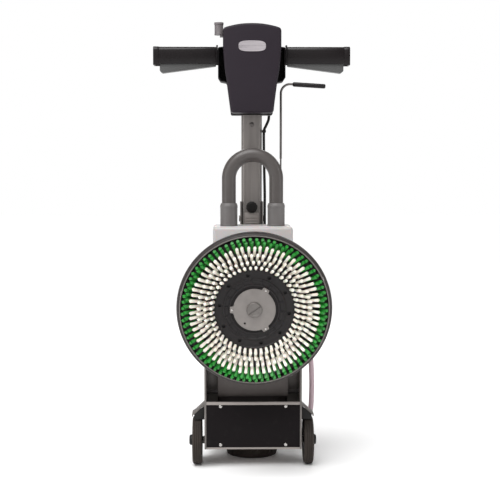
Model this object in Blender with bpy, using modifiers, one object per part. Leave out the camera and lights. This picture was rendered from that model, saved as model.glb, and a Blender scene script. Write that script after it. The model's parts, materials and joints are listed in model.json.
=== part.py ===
"""Rotary floor machine, parked: the brush deck is folded up and the handle stands upright.

Metres, +Z up. The origin is on the floor at the middle of the machine's outline.
-Y is the front, where the brush faces; +X is the right-hand side seen from the front.
"""

import math

import bmesh
import bpy
from mathutils import Matrix, Vector

# ---------------------------------------------------------------- driving dimensions
GAP = 0.0003  # clearance kept between touching pieces

# Brush deck, in its own frame: brush axis on Z, bristle tips at z = 0
BRUSH_R = 0.172  # outer edge of the bristle tips
PAN_CLEAR = 0.0018  # brush edge to the inside of the pan
PAN_WALL = 0.003
BUMPER_T = 0.0065
RIM_Z = 0.012  # height of the pan's rim above the tips
PAN_TOP = 0.050
BLOCK_Z = 0.022  # underside of the brush block
GREEN_W = 0.0165  # width of the outer bristle band
WHITE_IN_R = 0.097
DRIVE_R = 0.050
GEAR_BOX_R = 0.078
GEAR_BOX_TOP = 0.088
MOTOR_R = 0.055
MOTOR_TOP = 0.224
FAN_TOP = 0.240
PARK_ANGLE = 85.0  # degrees from working to parked

# Reduction: a pinion inside an internal gear
MODULE = 0.00125
PINION_TEETH = 12
RING_TEETH = 60
BACKLASH = 0.00018

# Chassis
SIDE_IN = 0.1165  # inner face of a side plate
SIDE_T = 0.0045
FRONT_Y = -0.058
BACK_Y = 0.116
FLOOR_Z = 0.0465
PANEL_TOP = 0.158
STRIP_TOP = 0.166
PIVOT_Y = -0.010  # deck pivot
PIVOT_Z = 0.182
PIVOT_PIN_R = 0.005

# Wheels
WHEEL_R = 0.060
WHEEL_W = 0.024
WHEEL_X = 0.1395
AXLE_R = 0.006
AXLE_Y = -0.012

# Tank and suction hose
TANK_HALF = 0.099
TANK_FRONT = -0.040
TANK_BACK = 0.1045
TANK_WALL = 0.003
TANK_HEIGHT = 0.127
HOSE_R = 0.0175
HOSE_X = 0.0595
HOSE_Y = 0.020
HOSE_LEG = 0.1185  # straight leg above the tank's top
HOSE_ARCH = 0.0595
CUFF_H = 0.0575

# Handle
POST_HALF = 0.0265
POST_DEPTH = 0.038
POST_Y = 0.138
POST_FOOT = 0.022  # the post ends this far below its pivot
CONSOLE_FRONT = 0.055
CONSOLE_SPLIT = 0.110
CONSOLE_BACK = 0.168
HANDLE_RISE = 0.272  # handle pivot to the console's lower edge
CONSOLE_H = 0.2255
GRIP_Y = 0.132
GRIP_HALF_Y = 0.020
HOUSING_HALF = 0.087
GRIP_END = 0.254

# ---------------------------------------------------------------- values that follow
DECK_PAN_IN = BRUSH_R + PAN_CLEAR
DECK_PAN_OUT = DECK_PAN_IN + PAN_WALL
SKIRT_R = DECK_PAN_OUT + GAP + BUMPER_T
DECK_REACH = SKIRT_R + 0.0631 + (-0.058 - FRONT_Y)
CENTRE = MODULE * (RING_TEETH - PINION_TEETH) / 2  # motor axis to brush axis
SWEEP = math.hypot(DECK_REACH - CENTRE + MOTOR_R, FAN_TOP - PIVOT_Z)
TANK_BOTTOM = PIVOT_Z + SWEEP + 0.0122
TANK_TOP = TANK_BOTTOM + TANK_HEIGHT
SHELF_Z = 0.2985
HINGE_Z = TANK_TOP + 0.013  # handle pivot
CONSOLE_Z = HINGE_Z + HANDLE_RISE
LEG_TOP = TANK_TOP + HOSE_LEG
SIDE_OUT = SIDE_IN + SIDE_T
HUB_R = WHEEL_R - 0.0185
CUFF_R = HOSE_R + 0.0045
SPIGOT_R = HOSE_R - 0.001
WHEEL_IN = WHEEL_X - WHEEL_W / 2
WHEEL_OUT = WHEEL_X + WHEEL_W / 2
ROD_X, ROD_Y = 0.0757, 0.1255
CABLE_X, CABLE_Y, CABLE_R = POST_HALF + 0.0074, 0.120, 0.0035
POST_SWING = math.hypot(POST_DEPTH / 2, POST_FOOT) + 0.0014  # clears the post's foot as it tilts
SPINE_TOP = HINGE_Z - POST_SWING - 0.0065


# ---------------------------------------------------------------- scene and materials
def clear_scene():
    for obj in list(bpy.data.objects):
        bpy.data.objects.remove(obj, do_unlink=True)
    for mesh in list(bpy.data.meshes):
        bpy.data.meshes.remove(mesh)


def new_collection(name):
    group = bpy.data.collections.new(name)
    bpy.context.scene.collection.children.link(group)
    return group


def material(name, colour, roughness, metallic=0.0):
    mat = bpy.data.materials.new(name)
    mat.use_nodes = True
    shader = mat.node_tree.nodes["Principled BSDF"]
    shader.inputs["Base Color"].default_value = (*colour, 1.0)
    shader.inputs["Roughness"].default_value = roughness
    shader.inputs["Metallic"].default_value = metallic
    mat.diffuse_color = (*colour, 1.0)
    return mat


clear_scene()
PARTS = new_collection("rotary_floor_machine")
CUTTERS = new_collection("cutters")


def finish(obj, name, parent, mat, loc=(0, 0, 0), rot=(0, 0, 0)):
    """Names, places, parents and colours one sub-part."""
    obj.name = name
    obj.data.name = name
    for group in list(obj.users_collection):
        group.objects.unlink(obj)
    PARTS.objects.link(obj)
    obj.parent = parent
    obj.location = loc
    obj.rotation_euler = rot
    own = material(name, *mat)
    obj.data.materials.clear()
    obj.data.materials.append(own)
    return obj


def from_bmesh(bm, smooth=30.0):
    mesh = bpy.data.meshes.new("shape")
    bmesh.ops.recalc_face_normals(bm, faces=bm.faces)
    bm.to_mesh(mesh)
    bm.free()
    mesh.shade_smooth()
    mesh.set_sharp_from_angle(angle=math.radians(smooth))
    return bpy.data.objects.new("shape", mesh)


def empty(name, parent, loc, rot=(0, 0, 0)):
    obj = bpy.data.objects.new(name, None)
    obj.empty_display_size = 0.03
    PARTS.objects.link(obj)
    obj.parent = parent
    obj.location = loc
    obj.rotation_euler = rot
    return obj


# ---------------------------------------------------------------- modelling helpers
def bevel(obj, width, segments=2, angle=40.0):
    mod = obj.modifiers.new("edges", "BEVEL")
    mod.width = width
    mod.segments = segments
    mod.limit_method = "ANGLE"
    mod.angle_limit = math.radians(angle)
    return mod


def round_uprights(obj, radius):
    """Rounds only the four upright edges of a box."""
    mod = bevel(obj, radius, 4)
    mod.limit_method = "WEIGHT"
    weights = obj.data.attributes.new("bevel_weight_edge", "FLOAT", "EDGE")
    for edge in obj.data.edges:
        a, b = (obj.data.vertices[i].co for i in edge.vertices)
        weights.data[edge.index].value = 1.0 if abs(a.z - b.z) > 0.1 else 0.0


def boolean(obj, other, operation="DIFFERENCE"):
    mod = obj.modifiers.new(operation.lower(), "BOOLEAN")
    mod.operation = operation
    mod.solver = "EXACT"
    mod.object = other
    return mod


def cutter(obj, name, parent, loc=(0, 0, 0), rot=(0, 0, 0)):
    """Turns an object into a helper that is never shown."""
    obj.name = name
    CUTTERS.objects.link(obj)
    obj.parent = parent
    obj.location = loc
    obj.rotation_euler = rot
    obj.hide_render = True
    obj.display_type = "WIRE"
    return obj


def block(x0, x1, y0, y1, z0, z1):
    """A box between two corners, in its parent's frame, with its origin at its centre."""
    bm = bmesh.new()
    bmesh.ops.create_cube(bm, size=1.0)
    size = Vector((x1 - x0, y1 - y0, z1 - z0))
    bmesh.ops.scale(bm, vec=size, verts=bm.verts)
    return from_bmesh(bm), Vector(((x0 + x1) / 2, (y0 + y1) / 2, (z0 + z1) / 2))


def rod(radius, length, segments=24):
    """A cylinder on Z, centred on its origin."""
    bm = bmesh.new()
    bmesh.ops.create_cone(bm, cap_ends=True, segments=segments, radius1=radius,
                          radius2=radius, depth=length)
    return from_bmesh(bm)


def prism(outline, low, high, axis="Z"):
    """A flat outline given a thickness from low to high along one axis.

    The outline's two coordinates are (x, y) for Z, (y, z) for X and (x, z) for Y.
    """
    bm = bmesh.new()
    if axis == "Z":
        verts = [bm.verts.new((a, b, low)) for a, b in outline]
        step = Vector((0, 0, high - low))
    elif axis == "X":
        verts = [bm.verts.new((low, a, b)) for a, b in outline]
        step = Vector((high - low, 0, 0))
    else:
        verts = [bm.verts.new((a, low, b)) for a, b in outline]
        step = Vector((0, high - low, 0))
    face = bm.faces.new(verts)
    made = bmesh.ops.extrude_face_region(bm, geom=[face])["geom"]
    bmesh.ops.translate(bm, vec=step, verts=[v for v in made if isinstance(v, bmesh.types.BMVert)])
    return from_bmesh(bm)


def signed_area(points):
    total = 0.0
    for (a, b), (c, d) in zip(points, points[1:] + points[:1]):
        total += a * d - c * b
    return total / 2


def turned(profile, steps=48):
    """A profile of (radius, height) points turned about Z with a Screw modifier."""
    on_axis = profile[0][0] == 0 and profile[-1][0] == 0
    points = list(profile)
    if signed_area(points) > 0:
        points.reverse()
    mesh = bpy.data.meshes.new("turned")
    count = len(points)
    edges = [(i, i + 1) for i in range(count - 1)]
    if not on_axis:
        edges.append((count - 1, 0))
    mesh.from_pydata([(r, 0, h) for r, h in points], edges, [])
    obj = bpy.data.objects.new("turned", mesh)
    mod = obj.modifiers.new("turn", "SCREW")
    mod.axis = "Z"
    mod.angle = 2 * math.pi
    mod.steps = steps
    mod.render_steps = steps
    mod.use_merge_vertices = True
    mod.merge_threshold = 0.00001
    mod.use_smooth_shade = True
    mod.use_normal_calculate = False
    face_out(obj, mod)
    return obj


def face_out(obj, mod):
    """Sets the Screw's flip so that the turned solid's faces point outwards."""
    bpy.context.scene.collection.objects.link(obj)
    bpy.context.view_layer.update()
    graph = bpy.context.evaluated_depsgraph_get()
    bm = bmesh.new()
    bm.from_object(obj, graph)
    if bm.calc_volume(signed=True) < 0:
        mod.use_normal_flip = not mod.use_normal_flip
    bm.free()
    bpy.context.scene.collection.objects.unlink(obj)


def smooth_path(points, per_span=4):
    """Points along a smooth curve that passes through each given point."""
    pts = [Vector(p) for p in points]
    ends = [pts[0] * 2 - pts[1]] + pts + [pts[-1] * 2 - pts[-2]]
    out = []
    for i in range(1, len(ends) - 2):
        a, b, c, d = ends[i - 1:i + 3]
        for k in range(per_span):
            t = k / per_span
            out.append(0.5 * ((2 * b) + (c - a) * t + (2 * a - 5 * b + 4 * c - d) * t ** 2
                              + (3 * b - a - 3 * c + d) * t ** 3))
    out.append(pts[-1])
    return out


def tube(points, radius, resolution=3):
    """A round tube or wire along a list of points."""
    curve = bpy.data.curves.new("tube", "CURVE")
    curve.dimensions = "3D"
    curve.bevel_depth = radius
    curve.bevel_resolution = resolution
    curve.use_fill_caps = True
    spline = curve.splines.new("POLY")
    spline.points.add(len(points) - 1)
    for point, where in zip(spline.points, points):
        point.co = (*where, 1.0)
        point.radius = 1.0
    return bpy.data.objects.new("tube", curve)


def as_mesh(obj):
    """A curve made into a mesh, with its caps welded on."""
    bpy.context.scene.collection.objects.link(obj)
    bpy.context.view_layer.update()
    graph = bpy.context.evaluated_depsgraph_get()
    mesh = bpy.data.meshes.new_from_object(obj.evaluated_get(graph))
    bm = bmesh.new()
    bm.from_mesh(mesh)
    bmesh.ops.remove_doubles(bm, verts=bm.verts, dist=0.00001)
    bmesh.ops.recalc_face_normals(bm, faces=bm.faces)
    bm.to_mesh(mesh)
    bm.free()
    out = bpy.data.objects.new("tube", mesh)
    out.matrix_world = obj.matrix_world
    bpy.data.objects.remove(obj, do_unlink=True)
    return out


def shell(outline, closed_y, open_y, wall, edge):
    """An open tray: a closed face at closed_y with walls running to open_y."""
    bm = bmesh.new()
    face = bm.faces.new([bm.verts.new((x, closed_y, z)) for x, z in outline])
    made = bmesh.ops.extrude_face_region(bm, geom=[face])["geom"]
    moved = [v for v in made if isinstance(v, bmesh.types.BMVert)]
    bmesh.ops.translate(bm, vec=Vector((0, open_y - closed_y, 0)), verts=moved)
    bmesh.ops.recalc_face_normals(bm, faces=bm.faces)
    mouth = [f for f in bm.faces if all(abs(v.co.y - open_y) < 1e-7 for v in f.verts)]
    bmesh.ops.delete(bm, geom=mouth, context="FACES")
    mesh = bpy.data.meshes.new("shell")
    bm.to_mesh(mesh)
    bm.free()
    mesh.shade_smooth()
    mesh.set_sharp_from_angle(angle=math.radians(40))
    obj = bpy.data.objects.new("shell", mesh)
    bevel(obj, edge, 2, 50.0)
    mod = obj.modifiers.new("wall", "SOLIDIFY")
    mod.thickness = wall
    mod.offset = -1.0
    mod.use_even_offset = True
    return obj


def mirrored(points):
    """A half outline from the top centre round to the bottom centre, completed on the left."""
    left = [(-x, z) for x, z in reversed(points) if x > 1e-9]
    return points + left


def gear_outline(teeth, tip, root, thinner):
    """The outline of an involute gear with a tooth centred on +Y."""
    pitch = MODULE * teeth / 2
    base = pitch * math.cos(math.radians(20))
    inv = math.tan(math.radians(20)) - math.radians(20)
    half = math.pi / (2 * teeth) - thinner / (2 * pitch)

    def angle(r):
        if r <= base:
            return half + inv
        a = math.acos(base / r)
        return half + inv - (math.tan(a) - a)

    low = max(root, base)
    radii = [root, low + 0.0001, (low + tip) / 2, tip] if low > root else [root, tip]
    out = []
    for k in range(teeth):
        centre = math.pi / 2 + 2 * math.pi * k / teeth
        out += [(r * math.cos(centre - angle(r)), r * math.sin(centre - angle(r))) for r in radii]
        out += [(r * math.cos(centre + angle(r)), r * math.sin(centre + angle(r)))
                for r in reversed(radii)]
    return out


# ---------------------------------------------------------------- colours: base colour, roughness, metallic
GREY_PAINT = ((0.30, 0.28, 0.27), 0.45, 0.3)
PALE_PAINT = ((0.45, 0.43, 0.41), 0.4, 0.3)
DARK_PAINT = ((0.02, 0.018, 0.018), 0.5, 0.2)
BLACK = ((0.015, 0.013, 0.014), 0.45, 0.0)
CONSOLE = ((0.045, 0.04, 0.046), 0.5, 0.0)
RUBBER = ((0.045, 0.04, 0.036), 0.8, 0.0)
BUMPER = ((0.05, 0.042, 0.04), 0.6, 0.0)
POST_GREY = ((0.2, 0.18, 0.17), 0.4, 0.5)
HOSE_GREY = ((0.14, 0.125, 0.12), 0.55, 0.0)
CUFF_GREY = ((0.2, 0.2, 0.2), 0.5, 0.0)
WHITE = ((0.75, 0.73, 0.73), 0.4, 0.0)
BRISTLE_W = ((0.8, 0.77, 0.72), 0.6, 0.0)
BRISTLE_G = ((0.015, 0.22, 0.02), 0.6, 0.0)
STEEL = ((0.5, 0.48, 0.46), 0.35, 1.0)
DARK_STEEL = ((0.12, 0.11, 0.11), 0.4, 0.9)
CLEAR_HOSE = ((0.55, 0.42, 0.46), 0.2, 0.0)
PADDLE = ((0.13, 0.13, 0.13), 0.5, 0.0)


# ---------------------------------------------------------------- chassis
def build_chassis():
    side = [(FRONT_Y, FLOOR_Z), (BACK_Y, FLOOR_Z), (BACK_Y, 0.44), (0.045, 0.44), (FRONT_Y, 0.27)]
    axle_hole = cutter(rod(AXLE_R + GAP, 0.4), "axle_hole", None, (0, AXLE_Y, WHEEL_R), (0, math.pi / 2, 0))
    pivot_hole = cutter(rod(PIVOT_PIN_R + GAP, 0.4), "deck_pivot_hole", None,
                        (0, PIVOT_Y, PIVOT_Z), (0, math.pi / 2, 0))
    for name, x0, x1 in (("side_plate_right", SIDE_IN, SIDE_OUT), ("side_plate_left", -SIDE_OUT, -SIDE_IN)):
        plate = finish(prism(side, x0, x1, "X"), name, None, GREY_PAINT)
        boolean(plate, axle_hole)
        boolean(plate, pivot_hole)

    inside = SIDE_IN - GAP
    panel, at = block(-inside, inside, FRONT_Y, FRONT_Y + 0.0025, 0.0515, PANEL_TOP)
    finish(panel, "front_panel", None, BLACK, at)
    strip = [(FRONT_Y - 0.001, PANEL_TOP + GAP), (FRONT_Y + 0.014, PANEL_TOP + GAP),
             (FRONT_Y + 0.014, PANEL_TOP + 0.003), (FRONT_Y + 0.002, PANEL_TOP + 0.003),
             (FRONT_Y + 0.002, STRIP_TOP), (FRONT_Y - 0.001, STRIP_TOP)]
    finish(prism(strip, -inside, inside, "X"), "cross_strip", None, PALE_PAINT)
    pan = [(FRONT_Y, FLOOR_Z), (0.1128, FLOOR_Z), (0.1128, FLOOR_Z + 0.003),
           (FRONT_Y + 0.003, FLOOR_Z + 0.003), (FRONT_Y + 0.003, 0.0512), (FRONT_Y, 0.0512)]
    finish(prism(pan, -inside, inside, "X"), "floor_pan", None, PALE_PAINT)
    wall = BACK_Y - 0.0028
    back = [(wall, FLOOR_Z), (BACK_Y, FLOOR_Z), (BACK_Y, TANK_BOTTOM - 0.002), (wall, TANK_BOTTOM - 0.002),
            (wall, SHELF_Z), (0.058, SHELF_Z), (0.058, SHELF_Z - 0.003), (wall, SHELF_Z - 0.003)]
    finish(prism(back, -inside, inside, "X"), "back_panel", None, DARK_PAINT)

    half = SIDE_OUT - 0.0005
    pin = [(0, -half), (PIVOT_PIN_R, -half), (PIVOT_PIN_R, half), (0, half)]
    finish(turned(pin, 16), "deck_pivot_pin", None, DARK_STEEL, (0, PIVOT_Y, PIVOT_Z), (0, math.pi / 2, 0))
    collar_in, collar_out = SIDE_OUT + GAP, WHEEL_IN - 0.0006
    half = [(AXLE_R, collar_in), (0.0095, collar_in), (0.0095, collar_out), (AXLE_R, collar_out),
            (AXLE_R, WHEEL_OUT + 0.0015)]
    axle = [(0, -half[-1][1])] + [(r, -x) for r, x in reversed(half)] + half + [(0, half[-1][1])]
    finish(turned(axle, 16), "axle", None, DARK_STEEL, (0, AXLE_Y, WHEEL_R), (0, math.pi / 2, 0))

    foot = [(0, 0.0462), (0.052, 0.0462), (0.055, 0.040), (0.062, 0.036), (0.064, 0.028), (0.068, 0.024),
            (0.068, 0.010), (0.064, 0.0), (0.046, 0.0), (0.040, 0.006), (0, 0.006)]
    finish(turned(foot, 28), "rear_foot", None, RUBBER, (0, 0.096, 0))

    top = 2 * WHEEL_R
    arm = [(SIDE_OUT + GAP, top + 0.037), (WHEEL_OUT - 0.005, top + 0.0135), (WHEEL_OUT + 0.001, top + 0.0105),
           (WHEEL_OUT + 0.001, top + 0.004), (WHEEL_OUT - 0.0018, top + 0.004),
           (WHEEL_OUT - 0.0018, top + 0.0085), (WHEEL_OUT - 0.0065, top + 0.010), (SIDE_OUT + 0.006, top + 0.0285),
           (SIDE_OUT + 0.006, top + 0.006), (SIDE_OUT + GAP, top + 0.006)]
    for name, sign in (("wheel_bracket_right", 1), ("wheel_bracket_left", -1)):
        finish(prism([(sign * x, z) for x, z in arm], -0.024, 0.024, "Y"), name, None, GREY_PAINT, (0, AXLE_Y, 0))

    spine, at = block(-POST_HALF, POST_HALF, BACK_Y + GAP, POST_Y + POST_DEPTH / 2, FLOOR_Z + 0.012, SPINE_TOP)
    bevel(spine, 0.005, 2)
    finish(spine, "spine", None, DARK_PAINT, at)
    bore, at = block(-POST_HALF + 0.0025, POST_HALF - 0.0025, BACK_Y + 0.0028, POST_Y + POST_DEPTH / 2 - 0.0025,
                     FLOOR_Z, HINGE_Z)
    boolean(spine, cutter(bore, "spine_bore", None, at))

    # Vacuum unit: a round-cornered housing between the deck pivot and the back panel, open below.
    unit, at = block(-0.088, 0.088, 0.0085, 0.1115, FLOOR_Z + 0.0033, SHELF_Z - 0.0080)
    round_uprights(unit, 0.042)
    finish(unit, "vacuum_unit", None, DARK_PAINT, at)
    boolean(unit, cutter(rod(0.036, 0.34, 24), "vacuum_bore", None, (0, 0.060, FLOOR_Z + 0.02)))


def build_tank():
    base = SHELF_Z + GAP
    body = [(TANK_FRONT, TANK_BOTTOM), (0.060, TANK_BOTTOM), (0.060, base), (TANK_BACK, base),
            (TANK_BACK, TANK_TOP), (TANK_FRONT, TANK_TOP)]
    tank = finish(prism(body, -TANK_HALF, TANK_HALF, "X"), "tank", None, WHITE)
    bevel(tank, 0.007, 2)
    t = TANK_WALL
    hollow = [(TANK_FRONT + t, TANK_BOTTOM + t), (0.060 + t, TANK_BOTTOM + t), (0.060 + t, base + t),
              (TANK_BACK - t, base + t), (TANK_BACK - t, TANK_TOP - t), (TANK_FRONT + t, TANK_TOP - t)]
    inner = cutter(prism(hollow, -TANK_HALF + t, TANK_HALF - t, "X"), "tank_hollow", None)
    for side in (-1, 1):
        spigot = rod(SPIGOT_R, 0.018, 20)
        boolean(tank, cutter(spigot, "tank_spigot", None, (side * HOSE_X, HOSE_Y, TANK_TOP + 0.005)), "UNION")
    boolean(tank, inner)
    for side in (-1, 1):
        bore = rod(SPIGOT_R - 0.003, 0.04, 20)
        boolean(tank, cutter(bore, "spigot_bore", None, (side * HOSE_X, HOSE_Y, TANK_TOP + 0.005)))
    boolean(tank, cutter(rod(0.0180, 0.02, 20), "filler_hole", None, (0, 0.060, TANK_TOP)))
    plug = [(0, TANK_TOP + 0.0004), (0.0176, TANK_TOP + 0.0004), (0.0176, TANK_TOP - 0.008), (0.0160, TANK_TOP - 0.012),
            (0, TANK_TOP - 0.012)]
    finish(turned(plug, 20), "filler_plug", None, WHITE, (0, 0.060, 0))

    # Feed hose: out of the tank's right side, down outside the side plate, and back in behind the wheel.
    y = 0.083
    elbow = [(0, 0.0), (0.009, 0.0), (0.009, 0.006), (0.0075, 0.006), (0.0075, 0.0135), (0, 0.0135)]
    finish(turned(elbow, 16), "tank_outlet", None, BLACK, (TANK_HALF + GAP, y, 0.462), (0, math.pi / 2, 0))
    start = TANK_HALF + 2 * GAP + 0.0135
    route = [(start, y, 0.462), (start + 0.005, y, 0.462), (start + 0.012, y, 0.4612), (0.138, y, 0.448), (0.1460, y, 0.405), (0.1472, y, 0.34),
             (0.1505, 0.082, 0.28), (0.1540, 0.080, 0.235), (0.1555, 0.079, 0.195), (0.1553, 0.078, 0.160),
             (0.1535, 0.078, 0.125), (0.1480, 0.078, 0.100), (0.1410, 0.078, 0.0868),
             (SIDE_OUT + 0.0145, 0.078, 0.0841), (SIDE_OUT + 0.0120, 0.078, 0.0840), (SIDE_OUT + 0.0097, 0.078, 0.0840)]
    finish(tube(smooth_path(route, 2), 0.0068, 2), "feed_hose", None, CLEAR_HOSE)
    inlet = [(0, 0.0), (0.009, 0.0), (0.009, 0.004), (0.0075, 0.004), (0.0075, 0.0085), (0, 0.0085)]
    finish(turned(inlet, 16), "chassis_inlet", None, BLACK, (SIDE_OUT + GAP, 0.078, 0.084), (0, math.pi / 2, 0))


def build_suction_hose():
    low = TANK_TOP + 0.0158
    pts = [(-HOSE_X, 0, low), (-HOSE_X, 0, (low + LEG_TOP) / 2)]
    for k in range(19):
        a = math.pi * (1 - k / 18)
        pts.append((HOSE_X * math.cos(a), 0, LEG_TOP + HOSE_ARCH * math.sin(a)))
    pts += [(HOSE_X, 0, (low + LEG_TOP) / 2), (HOSE_X, 0, low)]
    hose = finish(tube(pts, HOSE_R, 3), "suction_hose", None, HOSE_GREY, (0, HOSE_Y, 0))
    for name, side in (("hose_cuff_left", -1), ("hose_cuff_right", 1)):
        bore = HOSE_R + GAP
        ring = [(CUFF_R, GAP), (CUFF_R, CUFF_H - 0.0065), (HOSE_R + 0.002, CUFF_H), (bore, CUFF_H),
                (bore, 0.0153), (SPIGOT_R + 0.0004, 0.0153), (SPIGOT_R + 0.0004, GAP)]
        finish(turned(ring, 24), name, None, CUFF_GREY, (side * HOSE_X, HOSE_Y, TANK_TOP))
    return hose


# ---------------------------------------------------------------- wheels
def build_wheels():
    w = WHEEL_W / 2
    tyre = [(HUB_R + GAP, -w), (WHEEL_R - 0.006, -w), (WHEEL_R - 0.0015, -w + 0.002), (WHEEL_R, -w + 0.0055),
            (WHEEL_R, w - 0.0055), (WHEEL_R - 0.0015, w - 0.002), (WHEEL_R - 0.006, w), (HUB_R + GAP, w)]
    bore = AXLE_R + GAP
    hub = [(0, w + 0.0085), (0.010, w + 0.0085), (0.0132, w + 0.0055), (0.0132, w - 0.001), (0.034, w - 0.003),
           (0.038, w - 0.001), (HUB_R, w - 0.001), (HUB_R, -w + 0.001), (0.038, -w + 0.001), (0.034, -w + 0.003),
           (0.012, -w + 0.001), (bore, -w + 0.001), (bore, w + 0.002), (0, w + 0.002)]
    for side, sign in (("left", -1), ("right", 1)):
        axis = empty("wheel_" + side + "_axis", None, (sign * WHEEL_X, AXLE_Y, WHEEL_R))
        turn = (0, sign * math.pi / 2, 0)
        finish(turned(tyre, 32), "tyre_" + side, axis, RUBBER, rot=turn)
        finish(turned(hub, 24), "hub_" + side, axis, BLACK, rot=turn)


# ---------------------------------------------------------------- handle
def build_handle():
    top = empty("handle_axis", None, (0, POST_Y, HINGE_Z))

    # Socket: two cheeks on the spine, joined by a web that clears the post's foot as it swings.
    socket_z = HINGE_Z - 0.112
    inner, outer = POST_HALF + 0.0004, POST_HALF + 0.0034
    front = BACK_Y + GAP
    socket, at = block(-outer, outer, front, POST_Y + 0.022, socket_z, HINGE_Z + 0.045)
    finish(socket, "handle_socket", None, GREY_PAINT, at)
    upper, at = block(-inner, inner, 0.05, POST_Y + 0.1, HINGE_Z - POST_SWING, HINGE_Z + 0.1)
    boolean(socket, cutter(upper, "socket_slot", None, at))
    lower, at = block(-inner, inner, 0.05, POST_Y + 0.1, socket_z - 0.01, SPINE_TOP + GAP)
    boolean(socket, cutter(lower, "socket_foot", None, at))
    hinge_hole = cutter(rod(0.0053, 0.2), "handle_pin_hole", None, (0, POST_Y, HINGE_Z), (0, math.pi / 2, 0))
    boolean(socket, hinge_hole)
    pin = [(0, -outer - 0.0030), (0.008, -outer - 0.0030), (0.008, -outer - GAP), (0.005, -outer - GAP),
           (0.005, outer + GAP), (0.008, outer + GAP), (0.008, outer + 0.0030), (0, outer + 0.0030)]
    finish(turned(pin, 16), "handle_pivot_pin", None, DARK_STEEL, (0, POST_Y, HINGE_Z), (0, math.pi / 2, 0))

    # Post: a rounded rectangular tube. From here on heights are above the handle's pivot.
    depth = POST_DEPTH / 2
    post_top = HANDLE_RISE + 0.170
    post, at = block(-POST_HALF, POST_HALF, -depth, depth, -POST_FOOT, post_top)
    finish(post, "post", top, POST_GREY, at)
    round_uprights(post, 0.009)
    bore, at = block(-POST_HALF + 0.0022, POST_HALF - 0.0022, -depth + 0.0022, depth - 0.0022, -0.05, post_top + 0.05)
    round_uprights(bore, 0.0068)
    hollow = cutter(bore, "post_bore", top, at)
    boolean(post, hollow)
    post_pin = cutter(rod(0.0053, 0.2), "post_pin_hole", top, (0, 0, 0), (0, math.pi / 2, 0))
    boolean(post, post_pin)
    knob_z, bolt_z = 0.0304, HANDLE_RISE - 0.0274
    for name, z in (("knob_hole", knob_z), ("bolt_hole", bolt_z)):
        hole = cutter(rod(0.0034, 0.02), name, top, (0, -depth, z), (math.pi / 2, 0, 0))
        boolean(post, hole)
    bolt = [(0, 0.0035), (0.003, 0.0035), (0.0034, 0.0022), (0.006, 0.0018), (0.006, GAP), (0.003, GAP), (0.003, -0.006),
            (0, -0.006)]
    finish(turned(bolt, 12), "post_bolt", top, DARK_STEEL, (0, -depth, bolt_z), (math.pi / 2, 0, 0))

    knob_axis = empty("clamp_knob_axis", top, (0, -depth, knob_z))
    head = [(0, 0.0140), (0.012, 0.0140), (0.0148, 0.0115), (0.0150, 0.0035), (0.0125, 0.0012), (0.0085, GAP),
            (0.003, GAP), (0.003, -0.0085), (0, -0.0085)]
    finish(turned(head, 20), "clamp_knob", knob_axis, BLACK, rot=(math.pi / 2, 0, 0))

    hook = smooth_path([(0, depth + GAP, 0.168), (0, depth + 0.006, 0.168), (0, depth + 0.032, 0.166), (0, 0.0745, 0.172), (0, 0.0858, 0.190),
                        (0, 0.0858, 0.212)], 4)
    finish(tube(hook, 0.004, 1), "cord_hook", top, BLACK)

    # Power lead down the side of the post, in two lengths that part at the pivot.
    out, up = CABLE_X, HANDLE_RISE
    lead = smooth_path([(out + 0.0111, -0.010, up - 0.0044), (out + 0.0096, -0.0105, up - 0.016),
                        (out + 0.0026, -0.0135, up - 0.032), (out - 0.0021, -0.0160, up - 0.045),
                        (out - 0.0024, -0.0175, up - 0.082), (out - 0.0014, CABLE_Y - POST_Y, 0.130),
                        (out, CABLE_Y - POST_Y, 0.070), (out, CABLE_Y - POST_Y, 0.0022)], 4)
    finish(tube(lead, CABLE_R, 1), "cable_upper", top, BLACK)
    lower = smooth_path([(CABLE_X, CABLE_Y, HINGE_Z - 0.0022), (CABLE_X, CABLE_Y + 0.001, HINGE_Z - 0.060),
                         (CABLE_X, CABLE_Y + 0.008, HINGE_Z - 0.130), (CABLE_X, CABLE_Y + 0.007, HINGE_Z - 0.175),
                         (CABLE_X, BACK_Y + 0.0125, HINGE_Z - 0.200), (CABLE_X, BACK_Y + 0.0020, HINGE_Z - 0.203)], 4)
    finish(tube(lower, CABLE_R, 1), "cable_lower", None, BLACK)
    clip, at = block(POST_HALF + GAP, POST_HALF + 0.0105, -0.0215, -0.003, up - 0.0485, up - 0.0405)
    bevel(clip, 0.0015, 1)
    finish(clip, "cable_clip", top, BLACK, at)
    boolean(clip, cutter(rod(0.0046, 0.03, 16), "clip_bore", top, (out - 0.0020, -0.0160, up - 0.0445),
                         (0.0, math.radians(8), 0)))
    return top


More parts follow.
